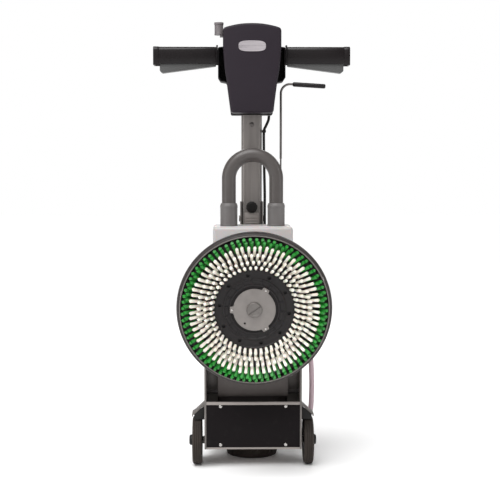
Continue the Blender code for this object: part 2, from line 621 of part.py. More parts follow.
def build_console(top):
    z0 = HANDLE_RISE
    front, split, back = CONSOLE_FRONT - POST_Y, CONSOLE_SPLIT - POST_Y, CONSOLE_BACK - POST_Y
    cover = mirrored([(0, z0 + CONSOLE_H), (0.028, z0 + CONSOLE_H - 0.0015), (0.050, z0 + CONSOLE_H - 0.006),
                      (0.066, z0 + CONSOLE_H - 0.0095), (0.0725, z0 + CONSOLE_H - 0.0135),
                      (0.074, z0 + CONSOLE_H - 0.020), (0.074, z0 + 0.168), (0.069, z0 + 0.108), (0.0635, z0 + 0.077),
                      (0.057, z0 + 0.027), (0.054, z0)])
    finish(shell(cover, front, split, 0.0028, 0.0065), "console_front", top, CONSOLE)

    low = z0 - 0.003
    rear = mirrored([(0, z0 + CONSOLE_H - 0.009), (0.050, z0 + CONSOLE_H - 0.013), (0.0715, z0 + CONSOLE_H - 0.020),
                     (0.0715, z0 + 0.172), (HOUSING_HALF, z0 + 0.170), (HOUSING_HALF, z0 + 0.093),
                     (0.0805, z0 + 0.083), (0.0645, z0 + 0.080), (0.0535, low)])
    housing = finish(shell(rear, back, split + GAP, 0.0028, 0.003), "console_rear", top, BLACK)
    depth = POST_DEPTH / 2
    way, at = block(-POST_HALF - 0.0006, POST_HALF + 0.0006, -depth - 0.0006, depth + 0.0006, low - 0.02, low + 0.02)
    boolean(housing, cutter(way, "post_way", top, at))
    button_at = Vector((-0.034, back, z0 + 0.135))
    boolean(housing, cutter(rod(0.0112, 0.02, 32), "button_hole", top, button_at, (math.pi / 2, 0, 0)))
    switch_at = Vector((0.034, back, z0 + 0.135))
    well, at = block(-0.0105, 0.0105, -0.01, 0.01, -0.0155, 0.0155)
    boolean(housing, cutter(well, "switch_hole", top, at + switch_at))

    button_axis = empty("lock_button_axis", top, button_at)
    cap = [(0, 0.0080), (0.0085, 0.0080), (0.0106, 0.0062), (0.0106, -0.0070), (0, -0.0070)]
    finish(turned(cap, 20), "lock_button", button_axis, ((0.6, 0.42, 0.02), 0.4, 0.0), rot=(-math.pi / 2, 0, 0))
    switch_axis = empty("vacuum_switch_axis", top, switch_at + Vector((0, -0.004, 0)))
    rocker = [(-0.0060, -0.0130), (0.0072, -0.0130), (0.0052, 0.0), (0.0072, 0.0130), (-0.0060, 0.0130)]
    finish(prism(rocker, -0.0088, 0.0088, "X"), "vacuum_switch", switch_axis, ((0.02, 0.25, 0.04), 0.4, 0.0))

    # Mains inlet on a short neck at the upper left corner.
    lip = CONSOLE_H + z0
    socket = [(0.0118, lip - 0.0235), (0.0118, lip - 0.0205), (0.0112, lip - 0.0195), (0.0112, lip + 0.0020),
              (0.0122, lip + 0.0030), (0.0122, lip + 0.0085), (0.0066, lip + 0.0085), (0.0066, lip - 0.0135),
              (0, lip - 0.0135), (0, lip - 0.0235)]
    inlet = finish(turned(socket, 20), "mains_inlet", top, CUFF_GREY, (-0.0845, -0.013, 0))
    neck, at = block(-0.0755, -0.0715 - GAP, -0.0185, -0.0075, lip - 0.0290, lip - 0.0205)
    boolean(inlet, cutter(neck, "inlet_neck", top, at), "UNION")
    ear, at = block(-0.0820, -0.0745, -0.0185, -0.0075, lip - 0.0290, lip - 0.0225)
    boolean(inlet, cutter(ear, "inlet_ear", top, at), "UNION")


def build_grips(top):
    y, hy = GRIP_Y - POST_Y, GRIP_HALF_Y
    high, low = HANDLE_RISE + 0.1727, HANDLE_RISE + 0.1276
    arch = [(y - hy, low), (y - hy, high - 0.009), (y - hy + 0.006, high - 0.002), (y, high),
            (y + hy - 0.006, high - 0.002), (y + hy, high - 0.009), (y + hy, low)]
    t = 0.003
    hollow = [(y - hy + t, low - 0.02), (y - hy + t, high - 0.0105), (y - hy + 0.008, high - 0.005), (y, high - t),
              (y + hy - 0.008, high - 0.005), (y + hy - t, high - 0.0105), (y + hy - t, low - 0.02)]
    pivot = Vector((0.0985, y, HANDLE_RISE + 0.136))
    blade = [(0.0925, 0.1228), (0.2310, 0.1048), (0.2372, 0.1100), (0.2372, 0.1306), (0.1000, 0.1470), (0.0925, 0.1440)]
    for side, sign in (("left", -1), ("right", 1)):
        x0, x1 = HOUSING_HALF + GAP, GRIP_END
        grip = finish(prism(arch, sign * x0, sign * x1, "X"), "grip_" + side, top, BLACK)
        boolean(grip, cutter(prism(hollow, sign * (x0 - 0.01), sign * (x1 - 0.004), "X"), "grip_hollow", top))
        lip, at = block(x1 - 0.004, x1, y - hy + 0.0004, y + hy - 0.0004, low - 0.0026, low + 0.003)
        at.x *= sign
        boolean(grip, cutter(lip, "grip_lip", top, at), "UNION")
        axis = empty("trigger_" + side + "_axis", top, (sign * pivot.x, pivot.y, pivot.z))
        shape = [(sign * (x - pivot.x), z + HANDLE_RISE - pivot.z) for x, z in blade]
        paddle = finish(prism(shape, -hy + 0.0045, hy - 0.0045, "Y"), "trigger_" + side, axis, PADDLE)
        bevel(paddle, 0.002, 2)


# ---------------------------------------------------------------- lift rod
def build_rod():
    bend = CONSOLE_Z + 0.0530
    corner = 0.024
    bottom = 0.330
    slider = empty("lift_rod_axis", None, (ROD_X, ROD_Y, bottom))
    pts = [Vector((0, 0, 0.438)), Vector((0, 0, 0.52))]
    for k in range(7):
        a = math.radians(15 * k)
        pts.append(Vector((corner - corner * math.cos(a), 0, bend - bottom + corner * math.sin(a))))
    pts.append(Vector((0.0305, 0, bend - bottom + corner - 0.0003)))
    upper = as_mesh(tube(pts, 0.003, 3))
    finish(upper, "lift_rod", slider, DARK_STEEL)
    lower, at = rod(0.0021, 0.4390, 16), (0, 0, 0.2195)
    boolean(upper, cutter(lower, "rod_lower", slider, at), "UNION")
    grip = [(0.0045, 0.0), (0.006, 0.003), (0.006, 0.082), (0.0045, 0.085), (0, 0.085), (0, 0.0)]
    start = (0.0308, 0, bend - bottom + corner - 0.0004)
    finish(turned(grip, 16), "rod_grip", slider, BLACK, start, (0, math.radians(93.5), 0))

    valve = [(0.0, 0.0), (0.009, 0.0), (0.009, 0.070), (0.006, 0.074), (0.0025, 0.074), (0.0025, 0.020), (0.0, 0.020)]
    body = finish(turned(valve, 16), "valve_body", None, BLACK, (ROD_X, ROD_Y, 0.300))
    base, at = block(ROD_X - 0.012, ROD_X + 0.012, BACK_Y + GAP, ROD_Y, 0.302, 0.3185)
    boolean(body, cutter(base, "valve_foot", None, at), "UNION")


# ---------------------------------------------------------------- brush deck
def build_deck():
    tilt = empty("deck_tilt_axis", None, (0, PIVOT_Y, PIVOT_Z), (math.radians(-PARK_ANGLE), 0, 0))
    frame = empty("deck_frame", tilt, (0, -DECK_REACH, -PIVOT_Z))

    inner, outer = DECK_PAN_IN, DECK_PAN_OUT
    pan = [(outer, RIM_Z), (outer, PAN_TOP - 0.006), (outer - 0.006, PAN_TOP), (0.0150, PAN_TOP),
           (0.0150, PAN_TOP - PAN_WALL), (inner - 0.006, PAN_TOP - PAN_WALL), (inner, PAN_TOP - PAN_WALL - 0.006),
           (inner, RIM_Z)]
    finish(turned(pan, 48), "deck_pan", frame, GREY_PAINT)
    b0 = outer + GAP
    bumper = [(b0, RIM_Z), (SKIRT_R - 0.002, RIM_Z), (SKIRT_R, RIM_Z + 0.002), (SKIRT_R, PAN_TOP - 0.012),
              (SKIRT_R - 0.003, PAN_TOP - 0.007), (b0, PAN_TOP - 0.007)]
    finish(turned(bumper, 48), "bumper", frame, BUMPER)

    # Yoke: two cheeks and a web, from the pivot to the pan's top.
    foot = PAN_TOP + GAP - PIVOT_Z
    heel = -DECK_REACH + GEAR_BOX_R + 0.004
    cheek = [(heel, foot), (heel, foot + 0.016), (-0.090, -0.002),
             (-0.072, 0.0115), (-0.006, 0.0125), (0.0095, 0.0095), (0.0125, 0.0), (0.0095, -0.0095), (0.0, -0.0125),
             (-0.072, -0.0125), (-0.0900, -0.040), (-0.1000, foot)]
    yoke = finish(prism(cheek, -0.088, 0.088, "X"), "deck_yoke", tilt, DARK_PAINT)
    inside = [(heel - 0.05, foot - 0.02), (heel - 0.05, 0.05), (-0.098, 0.05), (-0.0890, -0.0090),
              (-0.0895, -0.0170), (-0.0965, -0.0360), (-0.1040, foot - 0.02)]
    boolean(yoke, cutter(prism(inside, -0.082, 0.082, "X"), "yoke_hollow", tilt))
    knuckle, at = block(-0.076, 0.076, -0.058, 0.03, -0.0095, 0.03)
    boolean(yoke, cutter(knuckle, "yoke_gap", tilt, at))
    pin = cutter(rod(PIVOT_PIN_R + GAP, 0.3), "yoke_pin_hole", tilt, (0, 0, 0), (0, math.pi / 2, 0))
    boolean(yoke, pin)

    box = [(GEAR_BOX_R, PAN_TOP + GAP), (GEAR_BOX_R, GEAR_BOX_TOP - 0.004), (GEAR_BOX_R - 0.004, GEAR_BOX_TOP), (0, GEAR_BOX_TOP),
           (0, GEAR_BOX_TOP - 0.004), (GEAR_BOX_R - 0.004, GEAR_BOX_TOP - 0.004), (GEAR_BOX_R - 0.004, PAN_TOP + GAP)]
    housing = finish(turned(box, 32), "gear_housing", frame, DARK_PAINT)
    boolean(housing, cutter(rod(0.0090, 0.03, 24), "shaft_hole", frame, (0, CENTRE, GEAR_BOX_TOP)))
    base = GEAR_BOX_TOP + GAP
    case = [(MOTOR_R + 0.003, base), (MOTOR_R + 0.003, base + 0.006), (MOTOR_R, base + 0.008), (MOTOR_R, MOTOR_TOP),
            (MOTOR_R - 0.003, MOTOR_TOP), (MOTOR_R - 0.003, base)]
    finish(turned(case, 28), "motor_case", frame, DARK_PAINT, (0, CENTRE, 0))
    cover = [(0, FAN_TOP), (MOTOR_R - 0.012, FAN_TOP), (MOTOR_R + 0.0005, FAN_TOP - 0.007), (MOTOR_R + 0.0005, MOTOR_TOP + GAP),
             (MOTOR_R - 0.0030, MOTOR_TOP + GAP), (MOTOR_R - 0.0030, FAN_TOP - 0.008), (MOTOR_R - 0.0125, FAN_TOP - 0.003),
             (0, FAN_TOP - 0.003)]
    finish(turned(cover, 28), "fan_cover", frame, BLACK, (0, CENTRE, 0))
    stator = [(0.0315, base + 0.030), (MOTOR_R - 0.0033, base + 0.030), (MOTOR_R - 0.0033, base + 0.095), (0.0315, base + 0.095)]
    finish(turned(stator, 28), "stator", frame, STEEL, (0, CENTRE, 0))

    # Rotor with its pinion.
    spin = empty("motor_spin_axis", frame, (0, CENTRE, 0))
    gear_z = PAN_TOP + 0.0115
    pitch = MODULE * PINION_TEETH / 2
    pinion = prism(gear_outline(PINION_TEETH, pitch + 0.8 * MODULE, pitch - 1.1 * MODULE, BACKLASH), gear_z + 0.001,
                   gear_z + 0.014)
    rotor = [(0, gear_z + 0.0010), (0.0050, gear_z + 0.0010), (0.0050, base + 0.028), (0.0300, base + 0.028),
             (0.0300, base + 0.097), (0.0050, base + 0.097), (0.0050, base + 0.125), (0, base + 0.125)]
    core = finish(turned(rotor, 20), "rotor", spin, STEEL)
    boolean(core, cutter(pinion, "pinion_teeth", spin), "UNION")

    # Brush, drive plate and internal gear turn together.
    brush = empty("brush_spin_axis", frame, (0, 0, 0))
    ring_r = MODULE * RING_TEETH / 2
    spindle = [(0, BLOCK_Z - 0.0003), (0.0140, BLOCK_Z - 0.0003), (0.0140, gear_z - 0.0035), (ring_r + 0.0065, gear_z - 0.0035),
               (ring_r + 0.0065, gear_z + 0.0145), (ring_r - 0.0040, gear_z + 0.0145), (ring_r - 0.0040, gear_z),
               (0, gear_z)]
    gear = finish(turned(spindle, 40), "internal_gear", brush, STEEL)
    teeth = prism(gear_outline(RING_TEETH, ring_r + 1.1 * MODULE, ring_r - 0.8 * MODULE, -BACKLASH), gear_z, gear_z + 0.03)
    boolean(gear, cutter(teeth, "gear_teeth", brush))

    edge = BRUSH_R - 0.004
    disc = [(edge, BLOCK_Z), (edge, BLOCK_Z + 0.012), (0.0146, BLOCK_Z + 0.012), (0.0146, BLOCK_Z)]
    finish(turned(disc, 40), "brush_block", brush, BLACK)
    split = BRUSH_R - GREEN_W
    tip = BLOCK_Z - GAP
    white = [(WHITE_IN_R, 0.001), (split - 0.001, 0.001), (split - 0.001, tip), (WHITE_IN_R, tip)]
    finish(turned(white, 40), "bristles_white", brush, BRISTLE_W)
    green = [(split, 0), (BRUSH_R, 0), (BRUSH_R, 0.012), (edge, tip), (split, tip)]
    finish(turned(green, 40), "bristles_green", brush, BRISTLE_G)

    lugs = []
    for k in range(48):
        a = 2 * math.pi * k / 48
        lug = any(abs((a - c + math.pi) % (2 * math.pi) - math.pi) < math.radians(12)
                  for c in (math.radians(60), math.radians(180), math.radians(300)))
        r = DRIVE_R + 0.007 if lug else DRIVE_R
        lugs.append((r * math.cos(a), r * math.sin(a)))
    plate = finish(prism(lugs, BLOCK_Z - 0.0053, BLOCK_Z - 0.0006), "drive_plate", brush, STEEL)
    bevel(plate, 0.0006, 1)
    screw = [(0, BLOCK_Z - 0.0056), (0.0185, BLOCK_Z - 0.0056), (0.0185, BLOCK_Z - 0.0105), (0.0170, BLOCK_Z - 0.0120),
             (0, BLOCK_Z - 0.0120)]
    head = finish(turned(screw, 24), "plate_screw", brush, STEEL)
    slot, at = block(-0.02, 0.02, -0.0018, 0.0018, BLOCK_Z - 0.013, BLOCK_Z - 0.0088)
    boolean(head, cutter(slot, "screw_slot", brush, at, (0, 0, -math.radians(35))))


build_chassis()
build_tank()
build_suction_hose()
build_wheels()
handle = build_handle()
build_console(handle)
build_grips(handle)
build_rod()
build_deck()
bpy.context.view_layer.update()
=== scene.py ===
import json
import math

import bmesh
import bpy
from mathutils import Matrix, Vector

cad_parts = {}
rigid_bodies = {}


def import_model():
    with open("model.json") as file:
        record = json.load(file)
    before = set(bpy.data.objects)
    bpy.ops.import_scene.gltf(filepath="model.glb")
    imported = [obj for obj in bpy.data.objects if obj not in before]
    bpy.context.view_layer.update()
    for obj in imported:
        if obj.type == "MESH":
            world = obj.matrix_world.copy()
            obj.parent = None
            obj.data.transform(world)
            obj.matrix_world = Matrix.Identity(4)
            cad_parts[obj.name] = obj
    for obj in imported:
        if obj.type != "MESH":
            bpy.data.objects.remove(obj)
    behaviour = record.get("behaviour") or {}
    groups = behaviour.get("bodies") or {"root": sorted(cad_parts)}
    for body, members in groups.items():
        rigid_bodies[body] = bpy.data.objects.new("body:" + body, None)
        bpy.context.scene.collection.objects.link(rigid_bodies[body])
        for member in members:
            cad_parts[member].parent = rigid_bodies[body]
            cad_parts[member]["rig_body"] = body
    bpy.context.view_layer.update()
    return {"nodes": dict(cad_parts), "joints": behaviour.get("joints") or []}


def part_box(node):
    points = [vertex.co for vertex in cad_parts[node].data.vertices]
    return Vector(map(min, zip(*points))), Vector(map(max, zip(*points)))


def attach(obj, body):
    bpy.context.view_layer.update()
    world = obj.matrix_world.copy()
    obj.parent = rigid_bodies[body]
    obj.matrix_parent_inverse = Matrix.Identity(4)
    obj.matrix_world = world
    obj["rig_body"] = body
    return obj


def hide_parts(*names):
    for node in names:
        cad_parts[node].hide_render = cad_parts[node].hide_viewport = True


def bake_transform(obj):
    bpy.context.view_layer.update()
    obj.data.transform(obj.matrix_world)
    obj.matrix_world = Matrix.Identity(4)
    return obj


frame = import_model()

NODES = frame["nodes"]
JOINTS = {joint["name"]: joint for joint in frame["joints"]}
SCENE = bpy.context.scene

# ---------------------------------------------------------------- places, in metres
PARK = math.radians(85.0)
BRUSH_AT = Vector(JOINTS["brush_spin"]["pos_m"])
MOTOR_OFFSET = 0.030
HINGE = Vector(JOINTS["handle_tilt"]["pos_m"])
TANK_TOP = HINGE.z - 0.013
HANDLE_RISE = 0.272  # handle pivot to the console's lower edge
CONSOLE_Z = HINGE.z + HANDLE_RISE
CONSOLE_H = 0.2255
AXLE = Vector(JOINTS["wheel_right_spin"]["pos_m"])

BRUSH = Matrix.Translation(BRUSH_AT) @ Matrix.Rotation(-PARK, 4, "X")
MOTOR = BRUSH @ Matrix.Translation((0, MOTOR_OFFSET, 0))


def along_x(place, sign=1):
    """A frame whose Z points along the row's X."""
    return Matrix.Translation(place) @ Matrix.Rotation(sign * math.pi / 2, 4, "Y")


def facing_front(place):
    """A frame whose Z points to the front."""
    return Matrix.Translation(place) @ Matrix.Rotation(math.pi / 2, 4, "X")


def facing_back(place):
    """A frame whose Z points to the back."""
    return Matrix.Translation(place) @ Matrix.Rotation(-math.pi / 2, 4, "X")


# Rows of tufts: how many, radius at the board, radius at the tips, first tuft's angle
WHITE_ROWS = ((49, 0.0962, 0.1030, 0.00), (54, 0.1070, 0.1170, 0.03), (60, 0.1165, 0.1330, 0.05),
              (67, 0.1270, 0.1515, 0.02))
GREEN_ROWS = ((69, 0.1410, 0.1635, 0.03), (73, 0.1540, 0.1690, 0.00))
TIP_Z = 0.0022  # tips above the working surface
TUFT_SPREAD = (0.0021, 0.0026)  # a tuft's radius at the board and at its tips


# ---------------------------------------------------------------- camera, light and floor
def build_studio():
    camera = bpy.data.cameras.new("camera")
    camera.sensor_width = 36.0
    camera.lens = 80.64
    camera.clip_end = 60.0
    eye = bpy.data.objects.new("camera", camera)
    eye.location = (-0.06, -2.8, 0.75)
    eye.rotation_euler = (math.radians(85.70), 0.0, math.radians(-1.09))
    SCENE.collection.objects.link(eye)
    SCENE.camera = eye

    world = bpy.data.worlds.new("studio")
    SCENE.world = world
    world.use_nodes = True
    nodes, links = world.node_tree.nodes, world.node_tree.links
    nodes.clear()
    out = nodes.new("ShaderNodeOutputWorld")
    mix = nodes.new("ShaderNodeMixShader")
    seen = nodes.new("ShaderNodeLightPath")
    soft = nodes.new("ShaderNodeBackground")
    soft.inputs["Color"].default_value = (1.0, 0.99, 0.98, 1.0)
    soft.inputs["Strength"].default_value = 0.26
    paper = nodes.new("ShaderNodeBackground")
    paper.inputs["Color"].default_value = (1.0, 1.0, 1.0, 1.0)
    paper.inputs["Strength"].default_value = 1.0
    links.new(seen.outputs["Is Camera Ray"], mix.inputs["Fac"])
    links.new(soft.outputs[0], mix.inputs[1])
    links.new(paper.outputs[0], mix.inputs[2])
    links.new(mix.outputs[0], out.inputs["Surface"])

    sun = bpy.data.lights.new("overhead", "SUN")
    sun.energy = 3.1
    sun.angle = math.radians(50.0)
    lamp = bpy.data.objects.new("overhead", sun)
    lamp.rotation_euler = (math.radians(24.0), math.radians(-14.0), 0.0)
    SCENE.collection.objects.link(lamp)

    for name, where, size, power in (("softbox_front", (-0.9, -5.0, 3.2), (6.0, 4.0), 50.0),
                                     ("softbox_left", (-2.1, -1.2, 1.3), (0.6, 1.8), 12.0),
                                     ("softbox_right", (2.2, -0.9, 1.2), (0.5, 1.8), 10.0),
                                     ("softbox_back", (0.3, 2.6, 1.8), (2.0, 1.2), 20.0)):
        light = bpy.data.lights.new(name, "AREA")
        light.shape = "RECTANGLE"
        light.size, light.size_y = size
        light.energy = power
        box = bpy.data.objects.new(name, light)
        box.location = where
        box.rotation_euler = (Vector((0, 0, 0.55)) - Vector(where)).to_track_quat("-Z", "Y").to_euler()
        SCENE.collection.objects.link(box)

    bm = bmesh.new()
    bmesh.ops.create_grid(bm, x_segments=8, y_segments=8, size=14.0)
    mesh = bpy.data.meshes.new("floor")
    bm.to_mesh(mesh)
    bm.free()
    floor = bpy.data.objects.new("floor", mesh)
    SCENE.collection.objects.link(floor)
    mesh.materials.append(finish("floor_pale", (0.94, 0.94, 0.94), 0.75, vary=0.004, patch=0.8, bump=0.0,
                                 Specular_IOR_Level=0.1))
    SCENE.view_settings.view_transform = "Standard"


# ---------------------------------------------------------------- finishes
def srgb(r, g, b):
    """A colour given as a paint card gives it, 0 to 255, as the shader wants it."""
    return tuple(v / 3294.6 if v <= 10 else ((v / 255 + 0.055) / 1.055) ** 2.4 for v in (r, g, b))


def finish(name, colour, rough, metal=0.0, vary=0.12, patch=12.0, grain=900.0, grit=0.06, bump=0.12,
           height=0.0003, stretch=(1, 1, 1), scuff=0.0, scuff_colour=(0.5, 0.48, 0.46), marks=None, **shader):
    """A finish whose colour, gloss and surface vary: broad patches, fine grain, and scuffs where asked.

    stretch squeezes the pattern along an axis to give brushing; marks turns it into rings round a point.
    """
    mat = bpy.data.materials.new(name)
    mat.use_nodes = True
    nodes, links = mat.node_tree.nodes, mat.node_tree.links
    skin = nodes["Principled BSDF"]
    skin.inputs["Metallic"].default_value = metal
    for socket, value in shader.items():
        skin.inputs[socket.replace("_", " ")].default_value = value

    coords = nodes.new("ShaderNodeTexCoord")
    place = nodes.new("ShaderNodeMapping")
    place.inputs["Scale"].default_value = stretch
    links.new(coords.outputs["Object"], place.inputs["Vector"])

    def noise(scale, detail, source=place):
        tex = nodes.new("ShaderNodeTexNoise")
        tex.inputs["Scale"].default_value = scale
        tex.inputs["Detail"].default_value = detail
        links.new(source.outputs[0] if source is not coords else coords.outputs["Object"],
                  tex.inputs["Vector"])
        return tex

    def spread(value, low, high, start=0.3, end=0.7):
        node = nodes.new("ShaderNodeMapRange")
        node.inputs["From Min"].default_value = start
        node.inputs["From Max"].default_value = end
        node.inputs["To Min"].default_value = low
        node.inputs["To Max"].default_value = high
        links.new(value, node.inputs["Value"])
        return node.outputs[0]

    def mixed(factor, a, b):
        node = nodes.new("ShaderNodeMix")
        node.data_type = "RGBA"
        links.new(factor, node.inputs[0])
        for socket, value in ((node.inputs[6], a), (node.inputs[7], b)):
            if isinstance(value, tuple):
                socket.default_value = (*value, 1.0)
            else:
                links.new(value, socket)
        return node.outputs[2]

    broad = noise(patch, 4.0)
    dark = tuple(c * (1 - vary) for c in colour)
    light = tuple(min(1.0, c * (1 + vary)) for c in colour)
    tone = mixed(spread(broad.outputs["Fac"], 0.0, 1.0), dark, light)
    if scuff:
        rub = noise(38.0, 8.0, coords)
        wear = spread(rub.outputs["Fac"], 0.0, scuff, 0.60, 0.72)
        tone = mixed(wear, tone, scuff_colour)
    links.new(tone, skin.inputs["Base Color"])

    fine = noise(grain, 2.0)
    gloss = nodes.new("ShaderNodeMath")
    gloss.operation = "ADD"
    links.new(spread(broad.outputs["Fac"], rough - grit, rough + grit), gloss.inputs[0])
    links.new(spread(fine.outputs["Fac"], -grit / 2, grit / 2), gloss.inputs[1])
    links.new(gloss.outputs[0], skin.inputs["Roughness"])
    if bump:
        relief = nodes.new("ShaderNodeBump")
        relief.inputs["Strength"].default_value = bump
        relief.inputs["Distance"].default_value = height
        if marks:
            centred = nodes.new("ShaderNodeMapping")
            centred.vector_type = "TEXTURE"
            centred.inputs["Location"].default_value = marks[0]
            centred.inputs["Rotation"].default_value = marks[1]
            links.new(coords.outputs["Object"], centred.inputs["Vector"])
            rings = nodes.new("ShaderNodeTexWave")
            rings.wave_type = "RINGS"
            rings.rings_direction = "Z"
            rings.inputs["Scale"].default_value = marks[2]
            rings.inputs["Distortion"].default_value = 1.5
            rings.inputs["Detail"].default_value = 3.0
            links.new(centred.outputs[0], rings.inputs["Vector"])
            links.new(rings.outputs["Fac"], relief.inputs["Height"])
        else:
            links.new(fine.outputs["Fac"], relief.inputs["Height"])
        links.new(relief.outputs[0], skin.inputs["Normal"])
    return mat


build_studio()

PARK_TURN = (-PARK, 0.0, 0.0)
PAINT_GREY = finish("paint_grey", srgb(114, 109, 106), 0.42, 0.25, vary=0.07, scuff=0.10, bump=0.16)
PAINT_PALE = finish("paint_pale", srgb(150, 143, 139), 0.38, 0.3, scuff=0.2, bump=0.15)
PANEL_BLACK = finish("panel_black", srgb(17, 12, 14), 0.50, vary=0.16, patch=7.0, bump=0.16, scuff=0.01,
                     Specular_IOR_Level=0.12)
PAINT_DARK = finish("paint_dark", srgb(88, 82, 80), 0.50, vary=0.14, scuff=0.04, bump=0.18,
                    Specular_IOR_Level=0.35)
MOULDED_DARK = finish("moulded_dark", srgb(84, 76, 75), 0.5, vary=0.16, patch=10.0, grain=1300.0, bump=0.25)
CONSOLE_SHELL = finish("console_shell", srgb(35, 28, 36), 0.52, vary=0.06, patch=6.0, grain=1500.0, bump=0.3,
                       height=0.0002, Specular_IOR_Level=0.22)
CASE_BLACK = finish("case_black", srgb(16, 12, 14), 0.50, vary=0.12, grain=1500.0, bump=0.28,
                    Specular_IOR_Level=0.18)
GRIP_BLACK = finish("grip_black", srgb(17, 11, 13), 0.30, vary=0.10, grain=1400.0, bump=0.2,
                    Specular_IOR_Level=0.3)
PADDLE_GREY = finish("paddle_grey", srgb(76, 76, 76), 0.5, vary=0.08, grain=1400.0, bump=0.22)
POST_METAL = finish("post_metal", srgb(124, 119, 116), 0.36, 0.45, vary=0.10, patch=30.0, grain=500.0,
                    stretch=(6, 6, 0.12), bump=0.08)
HOSE_GREY = finish("hose_grey", srgb(72, 67, 65), 0.42, vary=0.08, patch=16.0, grain=800.0, bump=0.15,
                   Coat_Weight=0.1)
CUFF_GREY = finish("cuff_grey", srgb(98, 95, 94), 0.45, vary=0.09, patch=20.0, grain=900.0, bump=0.15)
TANK_WHITE = finish("tank_white", srgb(177, 172, 171), 0.42, vary=0.025, patch=9.0, grain=500.0, bump=0.12,
                    Subsurface_Weight=0.25, Subsurface_Scale=0.01)
TYRE_RUBBER = finish("tyre_rubber", srgb(50, 44, 40), 0.78, vary=0.18, patch=30.0, grain=700.0, grit=0.08,
                     bump=0.3, scuff=0.25, scuff_colour=(0.07, 0.062, 0.056), Specular_IOR_Level=0.25)
HUB_BLACK = finish("hub_black", srgb(20, 18, 18), 0.5, vary=0.15, bump=0.18, Specular_IOR_Level=0.3)
BUMPER_BLACK = finish("bumper_black", srgb(38, 32, 31), 0.6, vary=0.14, patch=18.0, grain=900.0, bump=0.25,
                      scuff=0.12, scuff_colour=(0.12, 0.11, 0.10))
CLEAR_HOSE = finish("clear_hose", srgb(196, 172, 180), 0.18, vary=0.05, patch=14.0, grain=400.0, grit=0.04,
                    bump=0.04, Transmission_Weight=0.35, IOR=1.45, Coat_Weight=0.3)
BRISTLE_WHITE = finish("bristle_white", srgb(240, 235, 224), 0.5, vary=0.06, patch=60.0, grain=1600.0,
                       bump=0.2, Subsurface_Weight=0.15, Subsurface_Scale=0.002)
BRISTLE_GREEN = finish("bristle_green", srgb(28, 136, 42), 0.45, vary=0.30, patch=90.0, grain=1600.0,
                       bump=0.2, Subsurface_Weight=0.1, Subsurface_Scale=0.002)
BLOCK_BLACK = finish("block_black", srgb(22, 18, 19), 0.5, vary=0.16, patch=25.0, grain=1200.0, bump=0.2,
                     Specular_IOR_Level=0.35)
PLATE_ZINC = finish("plate_zinc", srgb(128, 123, 120), 0.42, 0.4, vary=0.09, patch=45.0, grit=0.1, bump=0.10,
                    height=0.0002, marks=(tuple(BRUSH_AT), PARK_TURN, 700.0))
SCREW_ZINC = finish("screw_zinc", srgb(112, 108, 105), 0.38, 0.7, vary=0.12, patch=80.0, grit=0.1, bump=0.08,
                    marks=(tuple(BRUSH_AT), PARK_TURN, 900.0))
STEEL_BRIGHT = finish("steel_bright", srgb(190, 187, 184), 0.26, 1.0, vary=0.07, patch=50.0, grain=1500.0,
                      bump=0.08)
STEEL_DARK = finish("steel_dark", srgb(104, 100, 98), 0.34, 0.9, vary=0.12, patch=40.0, grain=1300.0,
                    bump=0.1)
CAST_DARK = finish("cast_dark", srgb(48, 44, 44), 0.55, 0.35, vary=0.18, patch=30.0, grain=600.0, bump=0.35)
CABLE_BLACK = finish("cable_black", srgb(14, 12, 12), 0.5, vary=0.12, patch=30.0, bump=0.12,
                     Specular_IOR_Level=0.25)
KNOB_BLACK = finish("knob_black", srgb(16, 13, 11), 0.55, vary=0.15, patch=30.0, grain=1200.0, bump=0.3,
                    Specular_IOR_Level=0.25)
SWITCH_GREEN = finish("switch_green", srgb(30, 120, 52), 0.3, vary=0.06, bump=0.05, Coat_Weight=0.3)
BUTTON_AMBER = finish("button_amber", srgb(206, 150, 24), 0.3, vary=0.05, bump=0.05, Coat_Weight=0.3)
INLET_GREY = finish("inlet_grey", srgb(108, 102, 104), 0.42, vary=0.08, patch=30.0, grain=1300.0, bump=0.2)
BADGE_SILVER = finish("badge_silver", srgb(176, 170, 174), 0.32, 0.5, vary=0.14, patch=90.0, grain=1200.0,
                      stretch=(0.15, 1, 4), bump=0.08)
COPPER = finish("winding_copper", srgb(150, 84, 50), 0.35, 0.9, vary=0.2, patch=60.0, grain=900.0, bump=0.4)


# ---------------------------------------------------------------- making shapes
def as_object(bm, name="shape"):
    mesh = bpy.data.meshes.new(name)
    bm.to_mesh(mesh)
    bm.free()
    obj = bpy.data.objects.new(name, mesh)
    SCENE.collection.objects.link(obj)
    return obj


def plain(obj, sharp=32.0):
    """The object with its modifiers and place taken into one plain mesh at the origin."""
    bpy.context.view_layer.update()
    graph = bpy.context.evaluated_depsgraph_get()
    mesh = bpy.data.meshes.new_from_object(obj.evaluated_get(graph))
    mesh.transform(obj.matrix_world)
    bpy.data.objects.remove(obj, do_unlink=True)
    mesh.shade_smooth()
    mesh.set_sharp_from_angle(angle=math.radians(sharp))
    out = bpy.data.objects.new("shape", mesh)
    SCENE.collection.objects.link(out)
    return out


def joined(objects):
    """Several plain meshes as one."""
    bm = bmesh.new()
    for obj in objects:
        bm.from_mesh(obj.data)
        bpy.data.objects.remove(obj, do_unlink=True)
    return as_object(bm)


def bevelled(obj, width, segments=3, angle=38.0):
    mod = obj.modifiers.new("edges", "BEVEL")
    mod.width = width
    mod.segments = segments
    mod.limit_method = "ANGLE"
    mod.angle_limit = math.radians(angle)
    mod.harden_normals = False
    return obj


